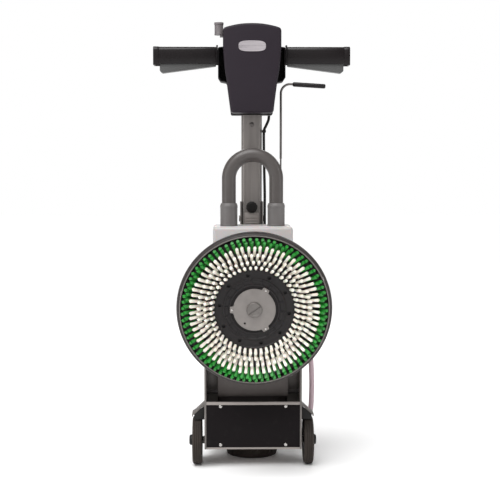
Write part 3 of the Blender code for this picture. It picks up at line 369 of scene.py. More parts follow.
def copied(node, edge=0.0, segments=2, sharp=32.0):
    """A CAD node's own shape, welded, with its edges eased."""
    bm = bmesh.new()
    bm.from_mesh(NODES[node].data)
    bmesh.ops.remove_doubles(bm, verts=bm.verts, dist=2e-6)
    bmesh.ops.dissolve_limit(bm, angle_limit=math.radians(0.6), verts=bm.verts, edges=bm.edges)
    obj = as_object(bm)
    if edge:
        bevelled(obj, edge, segments)
    return plain(obj, sharp)


def eased(points, radius, loop, count=3):
    """Rounds the corners of a profile."""
    out, size = [], len(points)
    for i, point in enumerate(points):
        if not loop and i in (0, size - 1):
            out.append(point)
            continue
        a, b, c = Vector(points[i - 1]), Vector(point), Vector(points[(i + 1) % size])
        if (a - b).angle(b - c, 0.0) < math.radians(14):
            out.append(point)
            continue
        reach = min(radius, (a - b).length * 0.45, (c - b).length * 0.45)
        p, q = b + (a - b).normalized() * reach, b + (c - b).normalized() * reach
        for k in range(count + 1):
            t = k / count
            out.append(tuple(p * (1 - t) ** 2 + b * 2 * t * (1 - t) + q * t ** 2))
    return out


def turned(profile, place, steps=96, ease=0.0006, count=3, sharp=32.0, shape=None):
    """A profile of (radius, height) turned about the Z of a frame. shape may change the radius by angle."""
    closed = not (profile[0][0] == 0 and profile[-1][0] == 0)
    points = eased(profile, ease, closed, count) if ease else list(profile)
    bm = bmesh.new()
    rings = []
    for r, h in points:
        if r < 1e-9:
            rings.append([bm.verts.new((0, 0, h))])
            continue
        ring = []
        for k in range(steps):
            a = 2 * math.pi * k / steps
            rr = shape(r, h, a) if shape else r
            ring.append(bm.verts.new((rr * math.cos(a), rr * math.sin(a), h)))
        rings.append(ring)
    pairs = list(zip(rings, rings[1:])) + ([(rings[-1], rings[0])] if closed else [])
    for low, high in pairs:
        for k in range(steps):
            n = (k + 1) % steps
            corners = [low[k % len(low)], low[n % len(low)], high[n % len(high)], high[k % len(high)]]
            unique = list(dict.fromkeys(corners))
            if len(unique) > 2:
                bm.faces.new(unique)
    bmesh.ops.recalc_face_normals(bm, faces=bm.faces)
    bm.transform(place)
    return plain(as_object(bm), sharp)


def curve_through(points, per_span=6):
    """Points on a smooth curve that passes through each given point."""
    pts = [Vector(p) for p in points]
    ends = [pts[0] * 2 - pts[1]] + pts + [pts[-1] * 2 - pts[-2]]
    out = []
    for i in range(1, len(ends) - 2):
        a, b, c, d = ends[i - 1:i + 3]
        for k in range(per_span):
            t = k / per_span
            out.append(0.5 * ((2 * b) + (c - a) * t + (2 * a - 5 * b + 4 * c - d) * t ** 2
                              + (3 * b - a - 3 * c + d) * t ** 3))
    out.append(pts[-1])
    return out


def sweep(points, radius, sides=20, place=None):
    """A round tube along a path, its rings kept square to it. radius may be a list, one for each point."""
    pts = [Vector(p) for p in points]
    radii = radius if isinstance(radius, list) else [radius] * len(pts)
    side = None
    bm = bmesh.new()
    rings = []
    for i, point in enumerate(pts):
        ahead = (pts[min(i + 1, len(pts) - 1)] - pts[max(i - 1, 0)]).normalized()
        if side is None:
            side = ahead.orthogonal().normalized()
        side = (side - ahead * side.dot(ahead)).normalized()
        other = ahead.cross(side)
        ring = [bm.verts.new(point + (side * math.cos(2 * math.pi * k / sides)
                                      + other * math.sin(2 * math.pi * k / sides)) * radii[i])
                for k in range(sides)]
        rings.append(ring)
    for a, b in zip(rings, rings[1:]):
        for k in range(sides):
            bm.faces.new((a[k], a[(k + 1) % sides], b[(k + 1) % sides], b[k]))
    bm.faces.new(rings[0])
    bm.faces.new(rings[-1])
    bmesh.ops.recalc_face_normals(bm, faces=bm.faces)
    if place is not None:
        bm.transform(place)
    return plain(as_object(bm), 40.0)


def extruded(outline, low, high, axis="Y", edge=0.0, segments=3, place=None, sharp=32.0, hole=None):
    """A flat outline given a thickness along an axis, with eased edges. hole is a second, open outline."""
    def at(a, b, w):
        return {"X": (w, a, b), "Y": (a, w, b), "Z": (a, b, w)}[axis]
    bm = bmesh.new()
    loops = [outline] + ([hole] if hole else [])
    rows = [[[bm.verts.new(at(a, b, w)) for a, b in loop] for w in (low, high)] for loop in loops]
    for near, far in rows:
        size = len(near)
        for k in range(size):
            bm.faces.new((near[k], near[(k + 1) % size], far[(k + 1) % size], far[k]))
    for end in (0, 1):
        if hole:
            outer, inner = rows[0][end], rows[1][end]
            size = len(outer)
            for k in range(size):
                bm.faces.new((outer[k], outer[(k + 1) % size], inner[(k + 1) % size], inner[k]))
        else:
            bm.faces.new(rows[0][end])
    bmesh.ops.recalc_face_normals(bm, faces=bm.faces)
    if place is not None:
        bm.transform(place)
    obj = as_object(bm)
    if edge:
        bevelled(obj, edge, segments)
    return plain(obj, sharp)


def box(x0, x1, y0, y1, z0, z1, edge=0.0, segments=3, place=None):
    return extruded([(x0, z0), (x1, z0), (x1, z1), (x0, z1)], y0, y1, "Y", edge, segments, place)


def cut(obj, tool, operation="DIFFERENCE"):
    """Cuts one shape from another, or adds it."""
    mod = obj.modifiers.new("cut", "BOOLEAN")
    mod.operation = operation
    mod.solver = "EXACT"
    mod.object = tool
    out = plain(obj)
    bpy.data.objects.remove(tool, do_unlink=True)
    return out


def fit(obj, name, mat, stands_for=(), body=None):
    """Names a finished piece, gives it its finish, and sets it on the CAD body it belongs to."""
    stands_for = [stands_for] if isinstance(stands_for, str) else list(stands_for)
    obj.name = name
    obj.data.name = name
    obj.data.materials.clear()
    obj.data.materials.append(mat)
    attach(obj, body or NODES[stands_for[0]]["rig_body"])
    if stands_for:
        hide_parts(*stands_for)
    return obj


# ---------------------------------------------------------------- node trees for what repeats
def ring_tree():
    """Copies of the given shape set round an axis, each leaning outwards, with a little disorder."""
    tree = bpy.data.node_groups.new("set_round_an_axis", "GeometryNodeTree")
    face = tree.interface
    face.new_socket(name="Geometry", in_out="INPUT", socket_type="NodeSocketGeometry")
    ids = {}
    for label, kind, value in (("Count", "Int", 12), ("Radius", "Float", 0.05), ("Start", "Float", 0.0),
                               ("Lean", "Float", 0.0), ("Disorder", "Float", 0.0),
                               ("Size change", "Float", 0.0), ("Seed", "Int", 1),
                               ("Finish", "Material", None)):
        item = face.new_socket(name=label, in_out="INPUT", socket_type="NodeSocket" + kind)
        if value is not None:
            item.default_value = value
        ids[label] = item.identifier
    face.new_socket(name="Geometry", in_out="OUTPUT", socket_type="NodeSocketGeometry")
    new, link = tree.nodes.new, tree.links.new
    given, result = new("NodeGroupInput"), new("NodeGroupOutput")

    def maths(operation, a, b):
        node = new("ShaderNodeMath")
        node.operation = operation
        for socket, value in zip(node.inputs, (a, b)):
            if isinstance(value, (int, float)):
                socket.default_value = value
            else:
                link(value, socket)
        return node.outputs[0]

    def chance(low, high, shift):
        node = new("FunctionNodeRandomValue")
        node.data_type = "FLOAT"
        link(low, node.inputs[2])
        link(high, node.inputs[3])
        link(maths("ADD", given.outputs["Seed"], shift), node.inputs["Seed"])
        return node.outputs[1]

    index = new("GeometryNodeInputIndex").outputs[0]
    line = new("GeometryNodeMeshLine")
    link(given.outputs["Count"], line.inputs["Count"])
    azimuth = maths("ADD", maths("MULTIPLY", maths("DIVIDE", index, given.outputs["Count"]), 2 * math.pi),
                    given.outputs["Start"])
    where = new("ShaderNodeCombineXYZ")
    link(maths("MULTIPLY", maths("COSINE", azimuth, 0), given.outputs["Radius"]), where.inputs["X"])
    link(maths("MULTIPLY", maths("SINE", azimuth, 0), given.outputs["Radius"]), where.inputs["Y"])
    moved = new("GeometryNodeSetPosition")
    link(line.outputs[0], moved.inputs["Geometry"])
    link(where.outputs[0], moved.inputs["Position"])
    less = maths("MULTIPLY", given.outputs["Disorder"], -1.0)
    turn = new("ShaderNodeCombineXYZ")
    link(chance(less, given.outputs["Disorder"], 0), turn.inputs["X"])
    link(maths("ADD", given.outputs["Lean"], chance(less, given.outputs["Disorder"], 11)), turn.inputs["Y"])
    link(azimuth, turn.inputs["Z"])
    rotation = new("FunctionNodeEulerToRotation")
    link(turn.outputs[0], rotation.inputs[0])
    put = new("GeometryNodeInstanceOnPoints")
    link(moved.outputs[0], put.inputs["Points"])
    link(given.outputs["Geometry"], put.inputs["Instance"])
    link(rotation.outputs[0], put.inputs["Rotation"])
    link(chance(maths("SUBTRACT", 1.0, given.outputs["Size change"]),
                maths("ADD", 1.0, given.outputs["Size change"]), 23), put.inputs["Scale"])
    real = new("GeometryNodeRealizeInstances")
    link(put.outputs[0], real.inputs[0])
    coat = new("GeometryNodeSetMaterial")
    link(real.outputs[0], coat.inputs["Geometry"])
    link(given.outputs["Finish"], coat.inputs["Material"])
    link(coat.outputs[0], result.inputs[0])
    return tree, ids


def grid_tree():
    """Copies of the given shape in rows and columns across X and Z."""
    tree = bpy.data.node_groups.new("set_in_rows", "GeometryNodeTree")
    face = tree.interface
    face.new_socket(name="Geometry", in_out="INPUT", socket_type="NodeSocketGeometry")
    ids = {}
    for label, kind, value in (("Columns", "Int", 2), ("Rows", "Int", 2), ("Column step", "Float", 0.1),
                               ("Row step", "Float", 0.1), ("Finish", "Material", None)):
        item = face.new_socket(name=label, in_out="INPUT", socket_type="NodeSocket" + kind)
        if value is not None:
            item.default_value = value
        ids[label] = item.identifier
    face.new_socket(name="Geometry", in_out="OUTPUT", socket_type="NodeSocketGeometry")
    new, link = tree.nodes.new, tree.links.new
    given, result = new("NodeGroupInput"), new("NodeGroupOutput")
    shape = given.outputs["Geometry"]
    for count, step, axis in (("Columns", "Column step", "X"), ("Rows", "Row step", "Z")):
        line = new("GeometryNodeMeshLine")
        link(given.outputs[count], line.inputs["Count"])
        offset = new("ShaderNodeCombineXYZ")
        link(given.outputs[step], offset.inputs[axis])
        link(offset.outputs[0], line.inputs["Offset"])
        put = new("GeometryNodeInstanceOnPoints")
        link(line.outputs[0], put.inputs["Points"])
        link(shape, put.inputs["Instance"])
        real = new("GeometryNodeRealizeInstances")
        link(put.outputs[0], real.inputs[0])
        shape = real.outputs[0]
    coat = new("GeometryNodeSetMaterial")
    link(shape, coat.inputs["Geometry"])
    link(given.outputs["Finish"], coat.inputs["Material"])
    link(coat.outputs[0], result.inputs[0])
    return tree, ids


RING, RING_IDS = ring_tree()
GRID, GRID_IDS = grid_tree()


def repeated(shape, tree, ids, place, sharp=32.0, **values):
    """Runs a node tree on a shape and returns a plain mesh in its place."""
    mod = shape.modifiers.new("repeat", "NODES")
    mod.node_group = tree
    for label, value in values.items():
        mod[ids[label.replace("_", " ")]] = value
    shape.update_tag()
    out = plain(shape, sharp)
    out.data.transform(place)
    return out


def around(shape, place, mat, count, radius, **more):
    return repeated(shape, RING, RING_IDS, place, Count=count, Radius=radius, Finish=mat, **more)


def in_rows(shape, place, mat, columns, rows, column_step, row_step):
    return repeated(shape, GRID, GRID_IDS, place, Columns=columns, Rows=rows, Column_step=column_step,
                    Row_step=row_step, Finish=mat)


def screw_head(radius, height):
    """A domed screw head with a cross recess, on Z, its underside at zero."""
    profile = [(0, 0), (radius, 0), (radius * 0.97, height * 0.35), (radius * 0.8, height * 0.78),
               (radius * 0.45, height), (0, height)]
    head = turned(profile, Matrix.Identity(4), 20, 0.0)
    arm = radius * 0.55
    wide = radius * 0.14
    tool = box(-arm, arm, -wide, wide, height * 0.45, height * 1.4)
    head = cut(head, tool)
    return cut(head, box(-wide, wide, -arm, arm, height * 0.45, height * 1.4))


# ---------------------------------------------------------------- brush
def tuft(length, root, tip):
    """One bundle of bristles hanging down from the origin, spreading towards its tips."""
    bm = bmesh.new()
    for k in range(7):
        a = 2 * math.pi * k / 6 + 0.26
        lean = 0.0 if k == 6 else 1.0
        dx, dy = math.cos(a) * lean, math.sin(a) * lean
        reach = length * (1.0 - 0.045 * ((k * 5) % 7) / 7)
        rings = []
        for t in (0.0, 0.5, 1.0):
            spread = root + (tip - root) * t ** 1.4
            half = 0.0012 + 0.0004 * t
            c = Vector((dx * spread, dy * spread, -reach * t))
            rings.append([bm.verts.new(c + Vector((half * math.cos(q), half * math.sin(q), 0)))
                          for q in (0.8, 2.37, 3.94, 5.51)])
        for low, high in zip(rings, rings[1:]):
            for q in range(4):
                bm.faces.new((low[q], low[(q + 1) % 4], high[(q + 1) % 4], high[q]))
        bm.faces.new(rings[-1])
        bm.faces.new(rings[0])
    bmesh.ops.recalc_face_normals(bm, faces=bm.faces)
    return as_object(bm)


def build_brush():
    block_z = 0.022
    block_face = BRUSH @ Matrix.Translation((0, 0, block_z))

    def rings(rows, mat, tip_z):
        made = []
        for k, (count, root_r, tip_r, start) in enumerate(rows):
            drop = block_z - tip_z
            lean = -math.atan((tip_r - root_r) / drop)
            length = math.hypot(drop, tip_r - root_r)
            made.append(around(tuft(length, TUFT_SPREAD[0], TUFT_SPREAD[1]), block_face, mat, count, root_r,
                               Lean=lean, Start=start, Disorder=0.045, Size_change=0.035, Seed=7 + k,
                               sharp=50.0))
        return joined(made)

    white = rings(WHITE_ROWS, BRISTLE_WHITE, TIP_Z)
    fit(white, "white_tufts", BRISTLE_WHITE, "bristles_white")
    green = rings(GREEN_ROWS, BRISTLE_GREEN, TIP_Z)
    fit(green, "green_tufts", BRISTLE_GREEN, "bristles_green")

    disc = [(0.168, 0.022), (0.168, 0.034), (0.0146, 0.034), (0.0146, 0.022), (0.0545, 0.022),
            (0.0560, 0.0200), (0.0600, 0.0200), (0.0612, 0.0222), (0.0690, 0.0222), (0.0702, 0.0206),
            (0.0738, 0.0206), (0.0750, 0.0222), (0.0905, 0.0222), (0.0920, 0.0200), (0.0945, 0.0200),
            (0.0960, 0.0222)]
    body = turned(disc, BRUSH, 96, 0.0005, 2)
    well = turned([(0, 0.018), (0.0044, 0.018), (0.0044, 0.029), (0, 0.029)], Matrix.Identity(4), 14, 0.0)
    wells = around(well, BRUSH, BLOCK_BLACK, 10, 0.0822, Start=0.12)
    body = cut(body, wells)
    fit(body, "brush_board", BLOCK_BLACK, "brush_block")

    web = box(-0.0066, 0.0066, -0.0012, 0.0012, 0.0196, 0.0230, 0.0004, 2)
    fit(around(web, BRUSH, BLOCK_BLACK, 18, 0.0660, Start=0.09), "board_webs", BLOCK_BLACK, body="brush")

    outline = []
    for k in range(144):
        a = 2 * math.pi * k / 144
        r = 0.0500
        for centre in (60, 180, 300):
            off = abs((math.degrees(a) - centre + 180) % 360 - 180)
            if off < 8.3:
                r = 0.0575
        outline.append((r * math.cos(a), r * math.sin(a)))
    plate = extruded(outline, 0.0167, 0.0212, "Z", 0.0007, 2, BRUSH)
    dimple = turned([(0, 0.0150), (0.0027, 0.0150), (0.0027, 0.0190), (0, 0.0190)],
                    BRUSH @ Matrix.Translation((-0.0225, 0.0325, 0)), 18, 0.0)
    plate = cut(plate, dimple)
    fit(plate, "drive_plate_zinc", PLATE_ZINC, "drive_plate")

    plug = turned([(0, 0.0186), (0.0026, 0.0186), (0.0026, 0.0192), (0, 0.0192)],
                  BRUSH @ Matrix.Translation((-0.0225, 0.0325, 0)), 18, 0.0)
    fit(plug, "drive_plate_hole", KNOB_BLACK, body="brush")

    head = [(0, 0.0164), (0.0185, 0.0164), (0.0185, 0.0118), (0.0172, 0.0102), (0.0120, 0.0100),
            (0.0115, 0.0106), (0, 0.0106)]
    screw = turned(head, BRUSH, 72, 0.0005)
    slot = box(-0.022, 0.022, -0.0016, 0.0016, 0.0085, 0.0130, 0.0, 1,
               BRUSH @ Matrix.Rotation(-math.radians(35), 4, "Z"))
    screw = cut(screw, slot)
    fit(screw, "plate_screw_head", SCREW_ZINC, "plate_screw")
    rivet = turned([(0, 0.0166), (0.0030, 0.0166), (0.0024, 0.0152), (0, 0.0148)], Matrix.Identity(4), 16,
                   0.0003)
    fit(around(rivet, BRUSH, STEEL_BRIGHT, 3, 0.0528, Start=math.radians(60)), "lug_rivets", STEEL_BRIGHT,
        body="brush")


# ---------------------------------------------------------------- deck
def build_deck():
    inner, outer = 0.1738, 0.1768
    pan = [(outer, 0.012), (outer, 0.044), (outer - 0.006, 0.050), (0.0150, 0.050), (0.0150, 0.047),
           (inner - 0.006, 0.047), (inner, 0.041), (inner, 0.012)]
    fit(turned(pan, BRUSH, 128, 0.0008), "deck_pan_pressed", PAINT_GREY, "deck_pan")
    b0 = outer + 0.0003
    bumper = [(b0, 0.0124), (b0 + 0.0012, 0.0124), (b0 + 0.0034, 0.0142), (b0 + 0.0052, 0.0185),
              (b0 + 0.0062, 0.0245), (b0 + 0.0064, 0.0310), (b0 + 0.0058, 0.0365), (b0 + 0.0035, 0.0415),
              (b0 + 0.0010, 0.0430), (b0, 0.0430)]
    fit(turned(bumper, BRUSH, 128, 0.0004, 2, 50.0), "bumper_band", BUMPER_BLACK, "bumper")

    box_top = 0.088
    fit(copied("gear_housing", 0.0008), "gear_housing_cast", CAST_DARK, "gear_housing")
    stud = screw_head(0.0042, 0.0022)
    fit(around(stud, BRUSH @ Matrix.Translation((0, 0, box_top)), STEEL_DARK, 6, 0.0690,
               Start=math.radians(90)),
        "gear_housing_screws", STEEL_DARK, body="deck")

    base = 0.0883
    case = [(0.058, base), (0.058, base + 0.006), (0.055, base + 0.008), (0.055, 0.224), (0.052, 0.224),
            (0.052, base)]
    fit(turned(case, MOTOR, 96, 0.0008), "motor_case_tube", CAST_DARK, "motor_case")
    fin = box(-0.0004, 0.0024, -0.0008, 0.0008, base + 0.012, 0.218, 0.0004, 2)
    fit(around(fin, MOTOR, CAST_DARK, 40, 0.055), "motor_fins", CAST_DARK, body="deck")
    cover = [(0, 0.240), (0.043, 0.240), (0.0555, 0.233), (0.0555, 0.2243), (0.052, 0.2243), (0.052, 0.232),
             (0.0425, 0.237), (0, 0.237)]
    fit(turned(cover, MOTOR, 96, 0.0012), "fan_cover_dome", CASE_BLACK, "fan_cover")
    bar = box(-0.013, 0.013, -0.0013, 0.0013, 0.2394, 0.24055, 0.0003, 1)
    fit(around(bar, MOTOR, CASE_BLACK, 16, 0.0275), "fan_cover_bars", CASE_BLACK, body="deck")
    fit(copied("deck_yoke", 0.0009), "deck_yoke_plate", PAINT_DARK, "deck_yoke")


# ---------------------------------------------------------------- chassis
def build_chassis():
    for side in ("left", "right"):
        fit(copied("side_plate_" + side, 0.0009), "side_plate_%s_sheet" % side, PAINT_GREY,
            "side_plate_" + side)
        fit(copied("wheel_bracket_" + side, 0.0010), "wheel_bracket_%s_arm" % side, PAINT_GREY,
            "wheel_bracket_" + side)
    fit(copied("front_panel", 0.0006), "front_panel_sheet", PANEL_BLACK, "front_panel")
    fit(copied("cross_strip", 0.0006), "cross_strip_fold", PAINT_PALE, "cross_strip")
    fit(copied("floor_pan", 0.0006), "floor_pan_fold", PAINT_PALE, "floor_pan")
    fit(copied("back_panel", 0.0007), "back_panel_sheet", PAINT_DARK, "back_panel")
    fit(copied("spine", 0.0), "spine_tube", PAINT_DARK, "spine")
    fit(copied("vacuum_unit", 0.0010), "vacuum_housing", MOULDED_DARK, "vacuum_unit")
    fit(copied("handle_socket", 0.0006), "handle_socket_bracket", PAINT_GREY, "handle_socket")

    unit, wall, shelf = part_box("vacuum_unit"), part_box("side_plate_right")[0].x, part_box("vacuum_unit")[1].z
    for name, sign in (("recess_liner_left", -1), ("recess_liner_right", 1)):
        edges = sorted((sign * (unit[1].x + 0.0006), sign * (wall - 0.0004)))
        liner = box(*edges, unit[0].y + 0.0215, unit[0].y + 0.0227, unit[0].z + 0.0030, shelf, 0.0004, 2)
        fit(liner, name, PAINT_GREY, body="chassis")

    for side, sign in (("left", -1), ("right", 1)):
        plate_lo, plate_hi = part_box("side_plate_" + side)
        bolt = screw_head(0.0046, 0.0020)
        bolt.data.transform(Matrix.Rotation(sign * math.pi / 2, 4, "Y"))
        face = plate_hi.x if sign > 0 else plate_lo.x
        place = Matrix.Translation((face, plate_hi.y - 0.0110, plate_lo.z + 0.0300))
        fit(in_rows(bolt, place, STEEL_DARK, 1, 4, 0.0, 0.1080), "side_bolts_" + side, STEEL_DARK,
            body="chassis")

    panel_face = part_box("front_panel")[0].y
    step_x, step_z = 0.162, 0.0967
    head = screw_head(0.0044, 0.0018)
    head.data.transform(Matrix.Rotation(math.pi / 2, 4, "X"))
    place = Matrix.Translation((-step_x / 2, panel_face, 0.0578))
    fit(in_rows(head, place, STEEL_BRIGHT, 2, 2, step_x, step_z), "panel_screws", STEEL_BRIGHT,
        body="chassis")

    # Black gusset plates in front of the wheels, reaching down to the tyre tops: partly a real gusset, partly
    # painted shade over the wheels.
    for name, sign in (("gusset_painted_shade_left", -1), ("gusset_painted_shade_right", 1)):
        shape = [(sign * gx, gz) for gx, gz in ((0.1216, 0.1500), (0.1216, 0.1170), (0.1468, 0.1170),
                                                (0.1468, 0.1305), (0.1290, 0.1465))]
        fit(extruded(shape, AXLE.y - 0.0260, AXLE.y - 0.0242, "Y", 0.0005, 2), name, HUB_BLACK,
            body="chassis")

    foot = [(0, 0.0462), (0.052, 0.0462), (0.055, 0.040), (0.062, 0.036), (0.064, 0.028), (0.0668, 0.024),
            (0.0668, 0.010), (0.064, 0.0), (0.046, 0.0), (0.040, 0.006), (0, 0.006)]
    middle = Vector((0, 0.096, 0))
    fit(turned(foot, Matrix.Translation(middle), 96, 0.0012), "rear_foot_rubber", TYRE_RUBBER, "rear_foot")
    rib = box(-0.0016, 0.0012, -0.0019, 0.0019, 0.0095, 0.0252, 0.0006, 2)
    fit(around(rib, Matrix.Translation(middle), TYRE_RUBBER, 36, 0.0668), "rear_foot_ribs", TYRE_RUBBER,
        body="chassis")

    lip = [(0.0, 0.0), (0.0022, 0.0012), (0.0022, 0.0024), (0.0, 0.0052)]
    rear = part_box("back_panel")[1].y
    for name, x in (("louvres_left", -0.0985), ("louvres_right", 0.0465)):
        louvre = extruded(lip, 0.0, 0.052, "X", 0.0004, 2)
        rows = in_rows(louvre, Matrix.Translation((x, rear, 0.105)), PAINT_DARK, 1, 12, 0.1, 0.0125)
        fit(rows, name, PAINT_DARK, body="chassis")


# ---------------------------------------------------------------- tank and hoses
def build_tank():
    fit(copied("tank", 0.0, sharp=55.0), "tank_moulding", TANK_WHITE, "tank")
    plug = [(0, TANK_TOP + 0.0004), (0.0176, TANK_TOP + 0.0004), (0.0176, TANK_TOP - 0.008),
            (0.0160, TANK_TOP - 0.012), (0, TANK_TOP - 0.012)]
    fit(turned(plug, Matrix.Translation((0, 0.060, 0)), 48, 0.0003), "filler_plug_cap", TANK_WHITE,
        "filler_plug")
    tank_lo, tank_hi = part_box("tank")
    ribs = []
    for face in (tank_lo.x, tank_hi.x):
        for rise in (0.040, 0.066, 0.092):
            ribs.append(box(face - 0.0010, face + 0.0010, tank_lo.y + 0.022, tank_hi.y - 0.022,
                            TANK_TOP - rise - 0.0030, TANK_TOP - rise, 0.0009, 3))
    fit(joined(ribs), "tank_side_ribs", TANK_WHITE, body="chassis")

    y = 0.083
    start = 0.099 + 0.0006 + 0.0135
    route = [(start, y, 0.462), (start + 0.005, y, 0.462), (start + 0.012, y, 0.4612), (0.138, y, 0.448),
             (0.1460, y, 0.405), (0.1472, y, 0.34), (0.1505, 0.082, 0.28), (0.1540, 0.080, 0.235),
             (0.1555, 0.079, 0.195), (0.1553, 0.078, 0.160), (0.1535, 0.078, 0.125), (0.1480, 0.078, 0.100),
             (0.1410, 0.078, 0.0868), (0.1355, 0.078, 0.0841), (0.1330, 0.078, 0.0840),
             (0.1307, 0.078, 0.0840)]
    fit(sweep(curve_through(route, 6), 0.0068, 24), "feed_hose_tube", CLEAR_HOSE, "feed_hose")

    low, top, half, rise = TANK_TOP + 0.0158, TANK_TOP + 0.1185, 0.0595, 0.0595
    path = [(-half, 0, low + (top - low) * k / 5) for k in range(5)]
    path += [(-half * math.cos(math.pi * k / 40), 0, top + rise * math.sin(math.pi * k / 40))
             for k in range(41)]
    path += [(half, 0, top - (top - low) * k / 5) for k in range(1, 6)]
    place = Matrix.Translation((0, 0.020, 0))
    fit(sweep(path, 0.0175, 40, place), "suction_hose_tube", HOSE_GREY, "suction_hose")

    cuff = [(0.0220, 0.0003), (0.0220, 0.0035), (0.0216, 0.0040), (0.0216, 0.0455), (0.0220, 0.0465),
            (0.0220, 0.0510), (0.0195, 0.0575), (0.0178, 0.0575), (0.0178, 0.0153), (0.0169, 0.0153),
            (0.0169, 0.0003)]
    for side, sign in (("left", -1), ("right", 1)):
        fit(turned(cuff, Matrix.Translation((sign * half, 0.020, TANK_TOP)), 64, 0.0010),
            "hose_cuff_%s_rubber" % side, CUFF_GREY, "hose_cuff_" + side)


# ---------------------------------------------------------------- wheels
def build_wheels():
    r, w = 0.060, 0.012
    tread = [(0.0418, -w), (r - 0.006, -w), (r - 0.0015, -w + 0.002), (r, -w + 0.0045)]
    for groove in (-0.0052, 0.0, 0.0052):
        tread += [(r, groove - 0.0009), (r - 0.0014, groove - 0.0005), (r - 0.0014, groove + 0.0005),
                  (r, groove + 0.0009)]
    tread += [(r, w - 0.0045), (r - 0.0015, w - 0.002), (r - 0.006, w), (0.0418, w)]
    for side, sign in (("left", -1), ("right", 1)):
        axis = Vector(JOINTS["wheel_%s_spin" % side]["pos_m"])
        fit(turned(tread, along_x(axis, sign), 96, 0.0005, 2), "tyre_%s_rubber" % side, TYRE_RUBBER,
            "tyre_" + side)
        fit(copied("hub_" + side, 0.0006), "hub_%s_moulding" % side, HUB_BLACK, "hub_" + side)
        spoke = box(-0.009, 0.0095, -0.0016, 0.0016, 0.0080, 0.0105, 0.0006, 2)
        fit(around(spoke, along_x(axis, sign), HUB_BLACK, 8, 0.0235), "hub_%s_spokes" % side, HUB_BLACK,
            body="wheel_" + side)


# ---------------------------------------------------------------- handle
def build_handle():
    fit(copied("post", 0.0), "post_tube", POST_METAL, "post")
    knob_at = Vector(JOINTS["clamp_knob_turn"]["pos_m"])

    def fluted(r, h, a):
        return r * (1 - 0.045 * (0.5 + 0.5 * math.cos(12 * a))) if r > 0.0095 and 0.002 < h < 0.0125 else r

    knob = [(0, 0.0140), (0.0105, 0.0140), (0.0134, 0.0122), (0.0148, 0.0098), (0.0150, 0.0060),
            (0.0150, 0.0035), (0.0125, 0.0012), (0.0085, 0.0003), (0.003, 0.0003), (0.003, -0.0085),
            (0, -0.0085)]
    fit(turned(knob, facing_front(knob_at), 96, 0.0008, shape=fluted), "clamp_knob_fluted", KNOB_BLACK,
        "clamp_knob")

    front = HINGE.y - 0.019
    plate = box(-0.0185, 0.0185, front - 0.0016, front, HINGE.z - 0.016, HINGE.z + 0.016, 0.0005, 2)
    ridges = [box(-0.0165, 0.0165, front - 0.0034, front - 0.0012, HINGE.z + dz, HINGE.z + dz + 0.0034,
                  0.0008, 2)
              for dz in (0.0020, -0.0052, -0.0124)]
    fit(joined([plate] + ridges), "foot_wear_plate", PAINT_PALE, body="handle")

    hook = curve_through([(0, 0.0193, 0.168), (0, 0.025, 0.168), (0, 0.051, 0.166), (0, 0.0745, 0.172),
                          (0, 0.0858, 0.190), (0, 0.0858, 0.212)], 8)
    fit(sweep(hook, 0.0040, 20, Matrix.Translation(HINGE)), "cord_hook_bar", STEEL_DARK, "cord_hook")
    fit(copied("cable_clip", 0.0), "cable_clip_block", KNOB_BLACK, "cable_clip")
    fit(copied("post_bolt", 0.0003), "post_bolt_head", STEEL_DARK, "post_bolt")

    x, y, up = 0.0339, 0.120, HANDLE_RISE
    upper = [(x + 0.0111, -0.010, up - 0.0044), (x + 0.0096, -0.0105, up - 0.016),
             (x + 0.0026, -0.0135, up - 0.032), (x - 0.0021, -0.0160, up - 0.045),
             (x - 0.0024, -0.0175, up - 0.082), (x - 0.0014, y - HINGE.y, 0.130), (x, y - HINGE.y, 0.070),
             (x, y - HINGE.y, 0.030)]
    lower = [(x, y, HINGE.z - 0.030), (x, y + 0.001, HINGE.z - 0.060), (x, y + 0.008, HINGE.z - 0.130),
             (x, y + 0.007, HINGE.z - 0.175), (x, 0.1285, HINGE.z - 0.200), (x, 0.1180, HINGE.z - 0.203)]
    lead = curve_through([tuple(Vector(p) + HINGE) for p in upper] + [(x, y, HINGE.z)] + lower, 10)
    wire = sweep(lead, 0.0035, 16)
    wire.name = wire.data.name = "power_lead"
    wire.data.materials.clear()
    wire.data.materials.append(CABLE_BLACK)
    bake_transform(wire)
    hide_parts("cable_upper", "cable_lower")


def tray(outline, closed_y, open_y, wall, edge, segments=5):
    """An open cover: a closed face at closed_y with rounded edges, and walls running to open_y."""
    bm = bmesh.new()
    near = [bm.verts.new((x, closed_y, z)) for x, z in outline]
    far = [bm.verts.new((x, open_y, z)) for x, z in outline]
    bm.faces.new(near)
    for k in range(len(near)):
        n = (k + 1) % len(near)
        bm.faces.new((near[k], near[n], far[n], far[k]))
    bmesh.ops.recalc_face_normals(bm, faces=bm.faces)
    obj = as_object(bm)
    bevelled(obj, edge, segments, 50.0)
    mod = obj.modifiers.new("wall", "SOLIDIFY")
    mod.thickness = wall
    mod.offset = -1.0
    mod.use_even_offset = True
    return plain(obj, 34.0)


def mirrored(points):
    return points + [(-x, z) for x, z in reversed(points) if x > 1e-9]


